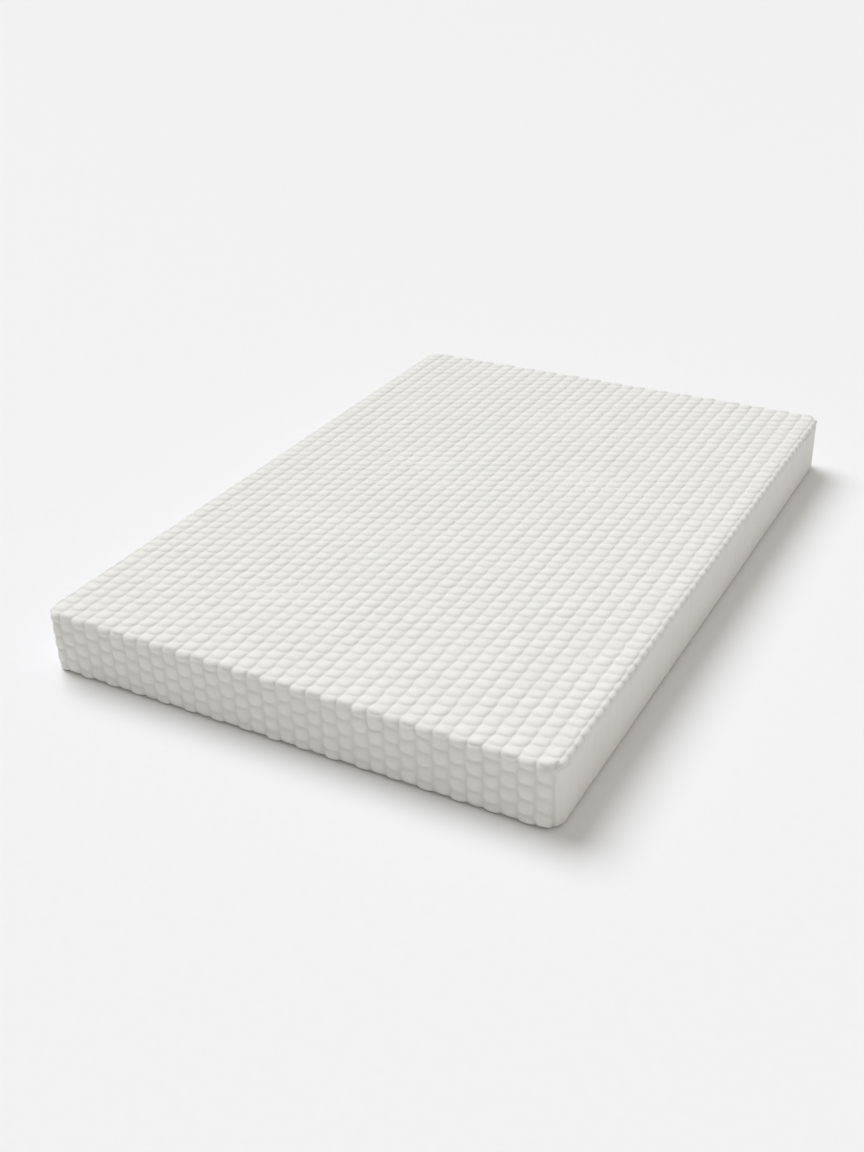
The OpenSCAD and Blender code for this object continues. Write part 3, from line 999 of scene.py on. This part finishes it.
class MATTRESS_OT_lining(bpy.types.Operator):
    """Makes the wadding, the backing cloth and the seam tapes inside the cover"""

    bl_idname = "mattress.lining"
    bl_label = "Wadding and Backing"

    def execute(self, context):
        s = cover_sizes()
        blank = Blank()
        blank.foot_end = blank.head_end
        top_in = s.face_thickness + s.top_wadding_thickness
        side_in = s.face_thickness + s.wadding_thickness

        def level(extra):
            def inner(a, b):
                edge = np.maximum(np.abs(a) - blank.ac, np.abs(b) - blank.bc)
                share = smoothstep((edge - blank.flat) / 0.012)
                return -((top_in + extra) * (1 - share) + (side_in + extra) * share)
            return inner

        over_edge = np.linspace(0, blank.e, 14)[1:]
        a_lines = np.concatenate([np.linspace(-blank.ac, blank.ac, 61), blank.ac + over_edge])
        a_lines = np.unique(np.concatenate([a_lines, -a_lines]).round(7))
        down_wall = np.linspace(0, blank.head_end - blank.b_seam, 7)[1:]
        b_lines = np.concatenate([np.linspace(-blank.bc, blank.bc, 85), blank.bc + over_edge,
                                  blank.b_seam + down_wall])
        b_lines = np.unique(np.concatenate([b_lines, -b_lines]).round(7))
        b_lines[0], b_lines[-1] = -blank.foot_end, blank.head_end

        def fluff(a, b, A, B):
            return -s.face_thickness - 0.0001 - 0.0001 * (1 + smooth_noise(A, B, 0.09, 41)) / 2

        def keep_a(a):
            return abs(a) > blank.ac - 0.002

        def keep_b(b):
            return abs(b) > blank.bc - 0.002

        wadding = panel_shell("main_panel_wadding", blank, a_lines, b_lines, fluff, level(0),
                              keep_a, keep_b, 4)
        belongs(wadding, made("fluffy_wadding", fluffy_wadding), "cover", "wadding", "main_wadding")
        inner = level(0)
        backing = panel_shell("main_panel_backing", blank, a_lines, b_lines,
                              lambda a, b, A, B: inner(a, b) - 0.00005, level(s.backing_thickness),
                              keep_a, keep_b, 4)
        belongs(backing, made("bonded_backing", bonded_backing), "cover", "backing_cloth", "main_backing")
        tape_low, tape_high = low("top_seam_tapes").z, high("top_seam_tapes").z
        for side, name in ((0, "right"), (2, "left")):
            wall = sweep("side_panel_wadding_" + name,
                         rounded_band(s.face_thickness + 0.0001, s.wadding_thickness - 0.0001, PANEL_Z,
                                      blank.seam_z, 0.0012), [side], blank)
            tidy_normals(wall)
            belongs(wall, made("fluffy_wadding", fluffy_wadding), "cover", "wadding",
                    "side_wadding_" + name)
            cloth = sweep("side_panel_backing_" + name,
                          rounded_band(side_in, s.backing_thickness, PANEL_Z, low("main_backing").z
                                       + high("side_backing_" + name).z - PANEL_Z), [side], blank)
            tidy_normals(cloth)
            belongs(cloth, made("bonded_backing", bonded_backing), "cover", "backing_cloth",
                    "side_backing_" + name)
            tape = sweep("top_seam_tape_" + name,
                         rounded_band(side_in + s.backing_thickness, TAPE_THICKNESS, tape_low, tape_high),
                         [side], blank)
            tidy_normals(tape)
            belongs(tape, made("seam_tape_cloth", seam_tape_cloth), "cover", "seam_tape", "top_seam_tapes")
        self.corner_tapes(blank, side_in + s.backing_thickness)
        return {"FINISHED"}

    def corner_tapes(self, blank, inset):
        box = low("corner_seam_tapes").z, high("corner_seam_tapes").z
        radius = blank.r - inset
        half = CORNER_TAPE_HALF_WIDTH / radius
        for k in range(4):
            sx, sy = (1, 1, -1, -1)[k], (1, -1, -1, 1)[k]
            centre = math.atan2(sy, sx)
            angles = np.linspace(centre - half, centre + half, 9)
            levels = np.linspace(box[0], box[1], 14)
            t, z = np.meshgrid(angles, levels, indexing="ij")
            x = sx * blank.ac + radius * np.cos(t)
            y = sy * blank.bc + radius * np.sin(t)
            tape = make_mesh("corner_seam_tape_%d" % (k + 1), np.stack([x, y, z], -1).reshape(-1, 3),
                             [grid_quads(t.shape)], np.stack([radius * t, z], -1).reshape(-1, 2))
            apply_modifier(tape, "SOLIDIFY", thickness=TAPE_THICKNESS, offset=-1.0)
            belongs(tape, made("seam_tape_cloth", seam_tape_cloth), "cover", "seam_tape",
                    "corner_seam_tapes")


class MATTRESS_OT_base_fabric(bpy.types.Operator):
    """Makes the base fabric with its turned-up rim"""

    bl_idname = "mattress.base_fabric"
    bl_label = "Base Fabric"

    def execute(self, context):
        blank = Blank()
        lo, hi = low("base_fabric"), high("base_fabric")
        inset = HALF_W - hi.x
        edge, thick = 0.004, low("support_foam").z - lo.z
        outer = [(inset + edge - edge * math.sin(t), edge - edge * math.cos(t))
                 for t in np.linspace(0, math.pi / 2, 7)]
        inner = [(inset + edge - (edge - thick) * math.sin(t), edge - (edge - thick) * math.cos(t))
                 for t in np.linspace(math.pi / 2, 0, 5)]
        top, cut = hi.z, 0.0006
        section = [(blank.r - edge, 0)] + outer
        section += [(inset, top - cut), (inset + cut, top), (inset + thick - cut, top),
                    (inset + thick, top - cut)]
        section += inner + [(blank.r - edge, thick)]
        rings = []
        for side in range(4):
            for station in side_stations(side, blank, 0.08, 8)[:-1]:
                rings.append([(*outline(np.array([station]), i, side, blank)[0][0], z) for i, z in section])
        rings = np.array(rings)
        n, m = rings.shape[:2]
        index = np.arange(n * m).reshape(n, m)
        nxt = np.roll(index, -1, 0)
        strips = np.concatenate([np.stack([index[:, k], nxt[:, k], nxt[:, k + 1], index[:, k + 1]], -1)
                                 for k in range(m - 1)])
        under, over = index[:, 0][::-1], index[:, -1]
        points = rings.reshape(-1, 3)
        rise = np.where(points[:, 2] > edge, points[:, 2] - edge, 0)
        stretch = 1 + rise / np.maximum(np.hypot(points[:, 0], points[:, 1]), 0.1)
        obj = make_mesh("base_fabric_sheet", points, [strips, [under, over]],
                        points[:, :2] * stretch[:, None])
        tidy_normals(obj)
        soften(obj, 35)
        belongs(obj, made("base_cloth", base_cloth), "core", "base_cloth", "base_fabric")
        return {"FINISHED"}


# ---------------------------------------------------------------- zip


def coil(name, node, opening_up, blank):
    """A nylon coil round the whole mattress, each turn a small loop with its head at the opening."""
    z = zip_sizes()
    lo, hi = low(node), high(node)
    half_depth = 0.0011
    inset_mid = HALF_W - hi.x + half_depth
    deep, tall = half_depth - z.wire, (hi.z - lo.z) / 2 - z.wire
    mid_z = (hi.z + lo.z) / 2
    lengths = [2 * ((blank.bc if s % 2 == 0 else blank.ac) + blank.r * math.pi / 4) for s in range(4)]
    total = sum(lengths)
    turns = int(total / z.turn_pitch)
    steps_per_turn = 8
    t = np.arange(turns * steps_per_turn) / steps_per_turn
    distance = t * total / turns
    xy, out = np.zeros((len(t), 2)), np.zeros((len(t), 2))
    start = 0.0
    angle = 2 * math.pi * t
    side_way = deep * np.sign(np.cos(angle)) * np.abs(np.cos(angle)) ** 0.7
    up_way = tall * np.sin(angle) * (1 if opening_up else -1)
    for side, length in enumerate(lengths):
        mask = (distance >= start - 1e-9) & (distance < start + length - 1e-9)
        p, n = outline(distance[mask] - start - length / 2, inset_mid, side, blank)
        xy[mask], out[mask] = p, n
        start += length
    centre = np.concatenate([xy + out * side_way[:, None], (mid_z + up_way)[:, None]], 1)
    ahead = np.roll(centre, -1, 0) - np.roll(centre, 1, 0)
    ahead /= np.linalg.norm(ahead, axis=1, keepdims=True)
    along = np.stack([-out[:, 1], out[:, 0], np.zeros(len(out))], 1)
    first = np.cross(ahead, along)
    first /= np.linalg.norm(first, axis=1, keepdims=True)
    second = np.cross(ahead, first)
    ring = []
    for k in range(4):
        w = 2 * math.pi * k / 4
        ring.append(centre + z.wire * (math.cos(w) * first + math.sin(w) * second))
    points = np.stack(ring, 1)
    n = len(centre)
    index = np.arange(n * 4).reshape(n, 4)
    nxt, side_next = np.roll(index, -1, 0), np.roll(index, -1, 1)
    quads = np.stack([index, side_next, np.roll(side_next, -1, 0), nxt], -1).reshape(-1, 4)
    return make_mesh(name, points.reshape(-1, 3), [quads])


class MATTRESS_OT_zip_chain(bpy.types.Operator):
    """Makes both zip tapes, both coils and the two end stops"""

    bl_idname = "mattress.zip_chain"
    bl_label = "Zip Chain"

    def execute(self, context):
        blank = Blank()
        for which, body in (("lower", "core"), ("upper", "cover")):
            node = which + "_zip_tape"
            lo, hi = low(node), high(node)
            inset = HALF_W - hi.x
            tape = sweep(node + "_cloth", rounded_band(inset, TAPE_THICKNESS, lo.z, hi.z, 0.00015),
                         range(4), blank, step=0.04, round_all=True)
            tidy_normals(tape)
            belongs(tape, made("zip_tape_cloth", zip_tape_cloth), body, "zip_tape", node)
            node = which + "_zip_coil"
            turns = coil(node + "_turns", node, which == "lower", blank)
            tidy_normals(turns)
            belongs(turns, made("nylon_coil", nylon_coil), body, "zip_coil", node)
            self.stop(which, body)
        return {"FINISHED"}

    def stop(self, which, body):
        """A metal clamp bent over the coil: a block whose open side is drawn in, then rounded."""
        node = which + "_zip_stop"
        lo, hi = low(node), high(node)
        wall = 0.0004
        block = add_block(node + "_clamp", lo, hi)
        pick_only(block)
        bpy.ops.object.mode_set(mode="EDIT")
        bpy.ops.mesh.select_all(action="DESELECT")
        bpy.ops.object.mode_set(mode="OBJECT")
        open_up = which == "lower"
        for face in block.data.polygons:
            face.select = abs(face.normal.z - (-1 if open_up else 1)) < 0.1
        bpy.ops.object.mode_set(mode="EDIT")
        bpy.ops.mesh.select_mode(type="FACE")
        bpy.ops.mesh.inset(thickness=wall, depth=0)
        reach = (hi.z - lo.z - wall) * (1 if open_up else -1)
        bpy.ops.mesh.extrude_region_move(TRANSFORM_OT_translate={"value": (0, 0, reach)})
        bpy.ops.object.mode_set(mode="OBJECT")
        apply_modifier(block, "BEVEL", width=0.0001, segments=2, limit_method="ANGLE")
        soften(block)
        belongs(block, made("zip_metal", zip_metal), body, "zip_metal", node)


def add_block(name, lo, hi):
    """A block between two corners, as the start of a piece, with its place in its mesh."""
    bpy.ops.object.select_all(action="DESELECT")
    bpy.ops.mesh.primitive_cube_add(size=1, location=(Vector(lo) + Vector(hi)) / 2,
                                    scale=Vector(hi) - Vector(lo))
    obj = bpy.context.object
    bpy.ops.object.transform_apply(location=True, rotation=True, scale=True)
    obj.name = obj.data.name = name
    return obj


def add_drum(name, centre, radius, depth, axis="Z", sides=24):
    bpy.ops.object.select_all(action="DESELECT")
    turned = {"Z": (0, 0, 0), "Y": (math.pi / 2, 0, 0)}[axis]
    bpy.ops.mesh.primitive_cylinder_add(vertices=sides, radius=radius, depth=depth,
                                        location=centre, rotation=turned)
    obj = bpy.context.object
    bpy.ops.object.transform_apply(location=True, rotation=True, scale=True)
    obj.name = obj.data.name = name
    return obj


def round_edges_along(obj, axis, width, segments=5):
    """Rounds the edges of a block that run along one axis."""
    pick_only(obj)
    bpy.ops.object.mode_set(mode="EDIT")
    bpy.ops.mesh.select_all(action="DESELECT")
    bpy.ops.mesh.select_mode(type="EDGE")
    bpy.ops.object.mode_set(mode="OBJECT")
    for edge in obj.data.edges:
        p, q = (obj.data.vertices[v].co for v in edge.vertices)
        way = (q - p).normalized()
        edge.select = abs(way[axis]) > 0.99
    bpy.ops.object.mode_set(mode="EDIT")
    bpy.ops.mesh.bevel(offset=width, segments=segments, affect="EDGES")
    bpy.ops.object.mode_set(mode="OBJECT")
    return obj


def join_pieces(name, parts, operation="UNION"):
    """Joins solid parts into one with the boolean modifier."""
    base = parts[0]
    for other in parts[1:]:
        apply_modifier(base, "BOOLEAN", operation=operation, object=other, solver="EXACT")
        bpy.data.objects.remove(other)
    base.name = base.data.name = name
    return base


BEVEL_FROM_ANGLE = 0.7    # radians, edges that turn by less stay sharp


class MATTRESS_OT_slider(bpy.types.Operator):
    """Makes the zip slider and its pull"""

    bl_idname = "mattress.slider"
    bl_label = "Slider and Pull"

    def execute(self, context):
        z = zip_sizes()
        lo, hi = low("zip_slider"), high("zip_slider")
        coil_y, coil_depth = high("lower_zip_coil").y, 0.0022
        mid = (lo.x + hi.x) / 2
        clearance, corner, flange = 0.0003, 0.0025, 0.001
        front_thick, back_thick = 0.0016, 0.0012
        front_y = coil_y + clearance
        back_y = coil_y - coil_depth - clearance
        front = add_block("front_plate", (lo.x, front_y, lo.z), (hi.x, front_y + front_thick, hi.z))
        round_edges_along(front, 1, corner)
        back = add_block("back_plate", (lo.x, back_y - back_thick, lo.z), (hi.x, back_y, hi.z))
        round_edges_along(back, 1, corner)
        zip_z = (high("lower_zip_coil").z + low("upper_zip_coil").z) / 2
        post = add_block("post", (mid - 0.0015, back_y - 0.0006, zip_z - 0.0004),
                         (mid + 0.0015, front_y + 0.0008, zip_z + 0.0004))
        tape_y = high("lower_zip_tape").y
        foot_front = add_block("front_flange", (lo.x + corner, tape_y + clearance, lo.z),
                               (hi.x - corner, front_y + 0.0008, lo.z + flange))
        foot_back = add_block("back_flange", (lo.x + corner, back_y - 0.0006, lo.z),
                              (hi.x - corner, back_y + 0.0011 - clearance, lo.z + flange))
        bridge = add_block("bridge", (mid - 0.0038, front_y + 0.0010, zip_z - 0.0012),
                           (mid + 0.0038, hi.y, zip_z + 0.0012))
        round_edges_along(bridge, 2, 0.0009, 4)
        gap = add_block("gap", (mid - 0.0026, front_y + 0.0012, zip_z - 0.003),
                        (mid + 0.0026, hi.y - 0.0012, zip_z + 0.003))
        bridge = join_pieces("bridge", [bridge, gap], "DIFFERENCE")
        slider = join_pieces("zip_slider_body", [front, back, post, foot_front, foot_back, bridge])
        apply_modifier(slider, "BEVEL", width=z.edge_round, segments=2, limit_method="ANGLE",
                       angle_limit=BEVEL_FROM_ANGLE)
        tidy_normals(slider)
        soften(slider, 35)
        belongs(slider, made("zip_metal", zip_metal), "slider", "zip_metal", "zip_slider")
        self.pull()
        return {"FINISHED"}

    def pull(self):
        lo, hi = low("zip_pull"), high("zip_pull")
        thick = hi.y - lo.y
        y = (lo.y + hi.y) / 2
        zm = (lo.z + hi.z) / 2
        pin_x = lo.x + thick / 2
        arm = (hi.x - pin_x) - 0.026
        plate = add_block("plate", (pin_x + arm, lo.y, lo.z), (hi.x, hi.y, hi.z))
        round_edges_along(plate, 1, 0.0025, 6)
        hole = add_drum("hole", (hi.x - 0.0046, y, zm), 0.0018, 0.006, "Y", 28)
        plate = join_pieces("plate", [plate, hole], "DIFFERENCE")
        groove = add_block("panel", (pin_x + arm + 0.0035, hi.y - 0.00025, zm - 0.0023),
                           (hi.x - 0.0085, hi.y + 0.001, zm + 0.0023))
        round_edges_along(groove, 1, 0.0012, 4)
        plate = join_pieces("plate", [plate, groove], "DIFFERENCE")
        parts = [plate]
        for sign in (-1, 1):
            inner, outer = sign * 0.0016, sign * 0.003
            parts.append(add_block("arm", (pin_x, lo.y, zm + min(inner, outer)),
                                   (pin_x + arm + 0.001, hi.y, zm + max(inner, outer))))
            parts.append(add_drum("eye", (pin_x, y, zm + (inner + outer) / 2), thick / 2, 0.0014, "Z"))
        parts.append(add_drum("pin", (pin_x, y, zm), thick / 2 - 0.00005, 0.006, "Z"))
        pull = join_pieces("zip_pull_tab", parts)
        apply_modifier(pull, "BEVEL", width=0.00018, segments=2, limit_method="ANGLE",
                       angle_limit=BEVEL_FROM_ANGLE)
        tidy_normals(pull)
        soften(pull, 35)
        belongs(pull, made("zip_metal", zip_metal), "pull", "zip_metal", "zip_pull")


class MATTRESS_OT_label(bpy.types.Operator):
    """Sews in the blank care label, slightly curled"""

    bl_idname = "mattress.label"
    bl_label = "Care Label"

    def execute(self, context):
        lo, hi = low("care_label"), high("care_label")
        y0 = (lo.y + hi.y) / 2
        u, v = np.meshgrid(np.linspace(lo.x, hi.x, 21), np.linspace(0, 1, 25), indexing="ij")
        sway = 0.0002 * np.sin((u - lo.x) * 160) * v
        front = np.stack([u, y0 + 0.00022 + sway * 0.5, hi.z - v * (hi.z - lo.z)], -1)
        index = np.arange(u.size).reshape(u.shape)
        quads = np.stack([index[:-1, 1:], index[:-1, :-1], index[1:, :-1], index[1:, 1:]], -1)
        obj = make_mesh("blank_care_label", front.reshape(-1, 3), [quads.reshape(-1, 4)],
                        np.stack([u, v * (hi.z - lo.z)], -1).reshape(-1, 2))
        apply_modifier(obj, "SOLIDIFY", thickness=0.00045, offset=-1.0)
        tidy_normals(obj)
        belongs(obj, made("label_cloth", label_cloth), "cover", "label_cloth", "care_label")
        return {"FINISHED"}


# ---------------------------------------------------------------- foam core


def foam_loft(name, stations, section_of):
    """Joins cross sections along the length into one block with closed ends."""
    rings = np.array([[(x, y, z) for x, z in section_of(y, level)] for y, level in stations])
    n, m = rings.shape[:2]
    index = np.arange(n * m).reshape(n, m)
    ring_next = np.roll(index, -1, 1)
    quads = np.concatenate([np.stack([index[k], ring_next[k], ring_next[k + 1], index[k + 1]], -1)
                            for k in range(n - 1)])
    obj = make_mesh(name, rings.reshape(-1, 3), [quads, [index[0][::-1], index[-1]]])
    tidy_normals(obj)
    return soften(obj, 30)


def half_width(y, radius):
    into = max(0.0, abs(y) - (CORE_L - radius))
    return CORE_W - radius + math.sqrt(max(0.0, radius ** 2 - into ** 2))


def core_ends(radius, count=9):
    """Stations through the rounded corners at both ends."""
    turn = np.linspace(0, math.pi / 2, count)
    far = [CORE_L - radius + radius * math.sin(t) for t in turn]
    return [-y for y in reversed(far)], far


def rounded_section(w, z0, z1, r=0.0025, steps=3, top_points=()):
    """A box section with soft corners; top_points are extra (x, z) points from right to left."""
    section = []
    for cx, cz, start in ((w - r, z0 + r, -90), (w - r, z1 - r, 0)):
        section += [(cx + r * math.cos(math.radians(start + 90 * k / steps)),
                     cz + r * math.sin(math.radians(start + 90 * k / steps))) for k in range(steps + 1)]
    section += list(top_points)
    for cx, cz, start in ((-w + r, z1 - r, 90), (-w + r, z0 + r, 180)):
        section += [(cx + r * math.cos(math.radians(start + 90 * k / steps)),
                     cz + r * math.sin(math.radians(start + 90 * k / steps))) for k in range(steps + 1)]
    return section


class MATTRESS_OT_core(bpy.types.Operator):
    """Cuts the three foam layers: zone cuts in the lowest and air channels in the middle one"""

    bl_idname = "mattress.core"
    bl_label = "Foam Core"

    def execute(self, context):
        radius = Blank().r - (HALF_W - CORE_W)
        front, back = core_ends(radius)
        for node, maker, slot in (("support_foam", firm_foam, "support_foam"),
                                  ("transition_foam", middle_foam, "transition_foam"),
                                  ("memory_foam", slow_foam, "memory_foam")):
            z0, z1 = low(node).z, high(node).z
            stations = [(y, z1) for y in front]
            if node == "support_foam":
                pitch, half_cut, depth = 0.05, 0.002, 0.035
                for zone in (-0.48, 0.48):
                    for k in range(-4, 5):
                        y = zone + k * pitch
                        stations += [(y - half_cut, z1), (y - half_cut, z1 - depth),
                                     (y + half_cut, z1 - depth), (y + half_cut, z1)]
            stations += [(y, z1) for y in back]

            def section(y, level, z0=z0, channels=node == "transition_foam"):
                w = half_width(y, radius)
                top = self.channels(w, level) if channels else ()
                return rounded_section(w, z0, level, top_points=top)

            obj = foam_loft(node + "_block", stations, section)
            belongs(obj, made(node, maker), "core", slot, node)
        return {"FINISHED"}

    def channels(self, w, level):
        radius, pitch = 0.007, 0.06
        count = int((CORE_W - radius) / pitch)
        points = []
        for k in range(count, -count - 1, -1):
            for t in np.linspace(0, math.pi, 9):
                x = k * pitch + radius * math.cos(t)
                limit = w - 0.003
                depth = radius * math.sin(t) * (abs(x) <= limit)
                points.append((max(-limit, min(limit, x)), level - depth))
        return points


# ---------------------------------------------------------------- stage


class MATTRESS_OT_stage(bpy.types.Operator):
    """Sets the pale floor, the soft studio light and the camera"""

    bl_idname = "mattress.stage"
    bl_label = "Stage"

    def execute(self, context):
        scene = bpy.context.scene
        bpy.ops.object.select_all(action="DESELECT")
        bpy.ops.mesh.primitive_plane_add(size=80, location=(0, 0, -0.0002))
        floor = bpy.context.object
        floor.name = "studio_floor"
        f = Finish("studio_paper")
        grain = f.noise(f.where(), 40.0, 2.0)
        shades = f.ramp(grain, 0.3, 0.7, (0.905, 0.908, 0.918), (0.913, 0.916, 0.926))
        floor.data.materials.append(f.finish(shades, rough=0.95))
        world = scene.world or bpy.data.worlds.new("studio")
        scene.world = world
        world.use_nodes = True
        sky = world.node_tree.nodes["Background"].inputs
        sky["Color"].default_value = (1.0, 0.978, 0.905, 1)
        sky["Strength"].default_value = 0.392
        scene.view_settings.view_transform = "Standard"
        self.soft_sun("window_light", (-0.64, 0.30, 1.0), 2.13, 36, (0.985, 0.995, 1.05))
        self.soft_sun("fill_light", (1.0, 0.25, 0.75), 0.22, 70, (1.0, 0.975, 0.91))
        self.backdrop()
        self.camera(scene)
        return {"FINISHED"}

    def soft_sun(self, name, towards, strength, spread, colour):
        """A far, wide light, so that the floor is as bright near as far."""
        light = bpy.data.lights.new(name, "SUN")
        light.energy = strength
        light.angle = math.radians(spread)
        light.color = colour
        obj = bpy.data.objects.new(name, light)
        obj.location = Vector(towards).normalized() * 5
        obj.rotation_euler = (-Vector(towards)).to_track_quat("-Z", "Y").to_euler()
        bpy.context.scene.collection.objects.link(obj)

    def backdrop(self):
        """A pale dome behind everything, which only the camera sees."""
        bpy.ops.object.select_all(action="DESELECT")
        bpy.ops.mesh.primitive_uv_sphere_add(segments=48, ring_count=24, radius=42)
        dome = bpy.context.object
        dome.name = "studio_backdrop"
        paper = bpy.data.materials.new("backdrop_paper")
        paper.use_nodes = True
        tree = paper.node_tree
        tree.nodes.clear()
        glow = tree.nodes.new("ShaderNodeEmission")
        glow.inputs["Color"].default_value = (0.9, 0.9, 0.9, 1)
        tree.links.new(glow.outputs[0], tree.nodes.new("ShaderNodeOutputMaterial").inputs["Surface"])
        dome.data.materials.append(paper)
        for ray in ("diffuse", "glossy", "transmission", "volume_scatter", "shadow"):
            setattr(dome, "visible_" + ray, False)

    def camera(self, scene):
        data = bpy.data.cameras.new("camera")
        data.sensor_fit = "VERTICAL"
        data.sensor_height = 36
        data.lens = 41.1125
        data.clip_end = 200
        obj = bpy.data.objects.new("camera", data)
        turn, dip, roll = (math.radians(x) for x in (30.06, 29.98, -2.016))
        ahead = Vector((-math.sin(turn) * math.cos(dip), math.cos(turn) * math.cos(dip), -math.sin(dip)))
        right = Vector((math.cos(turn), math.sin(turn), 0))
        up = right.cross(ahead)
        across = right * math.cos(roll) + up * math.sin(roll)
        above = up * math.cos(roll) - right * math.sin(roll)
        matrix = Matrix((across, above, -ahead)).transposed().to_4x4()
        matrix.translation = (1.5429, -2.9382, 1.8461)
        obj.matrix_world = matrix
        bpy.context.scene.collection.objects.link(obj)
        scene.camera = obj


# ---------------------------------------------------------------- panel and registration


class MATTRESS_PT_panel(bpy.types.Panel):
    """Lists the sizes, the colours and the steps of the build"""

    bl_label = "Foam Mattress"
    bl_idname = "MATTRESS_PT_panel"
    bl_space_type = "VIEW_3D"
    bl_region_type = "UI"
    bl_category = "Mattress"

    def draw(self, context):
        for title, name in zip(("Cover", "Quilting", "Zip", "Colours"), NAMES):
            group = getattr(context.scene, name)
            box = self.layout.box()
            box.label(text=title)
            for size in group.__annotations__:
                box.prop(group, size)
        column = self.layout.column()
        for operator in OPERATORS:
            column.operator(operator.bl_idname)


OPERATORS = (MATTRESS_OT_stage, MATTRESS_OT_core, MATTRESS_OT_base_fabric, MATTRESS_OT_zip_chain,
             MATTRESS_OT_slider, MATTRESS_OT_lining, MATTRESS_OT_side_panels, MATTRESS_OT_main_panel,
             MATTRESS_OT_label)
GROUPS = (MattressCoverSizes, MattressQuiltSizes, MattressZipSizes, MattressColours)
NAMES = ("mattress_cover", "mattress_quilt", "mattress_zip", "mattress_colours")
CLASSES = GROUPS + OPERATORS + (MATTRESS_PT_panel,)


def register():
    for cls in CLASSES:
        bpy.utils.register_class(cls)
    for name, group in zip(NAMES, GROUPS):
        setattr(bpy.types.Scene, name, bpy.props.PointerProperty(type=group))


def unregister():
    for name in NAMES:
        delattr(bpy.types.Scene, name)
    for cls in reversed(CLASSES):
        bpy.utils.unregister_class(cls)


def main():
    register()
    bpy.ops.mattress.stage()
    bpy.ops.mattress.core()
    bpy.ops.mattress.base_fabric()
    bpy.ops.mattress.zip_chain()
    bpy.ops.mattress.slider()
    bpy.ops.mattress.lining()
    bpy.ops.mattress.side_panels()
    bpy.ops.mattress.main_panel()
    bpy.ops.mattress.label()


if __name__ == "__main__":
    main()
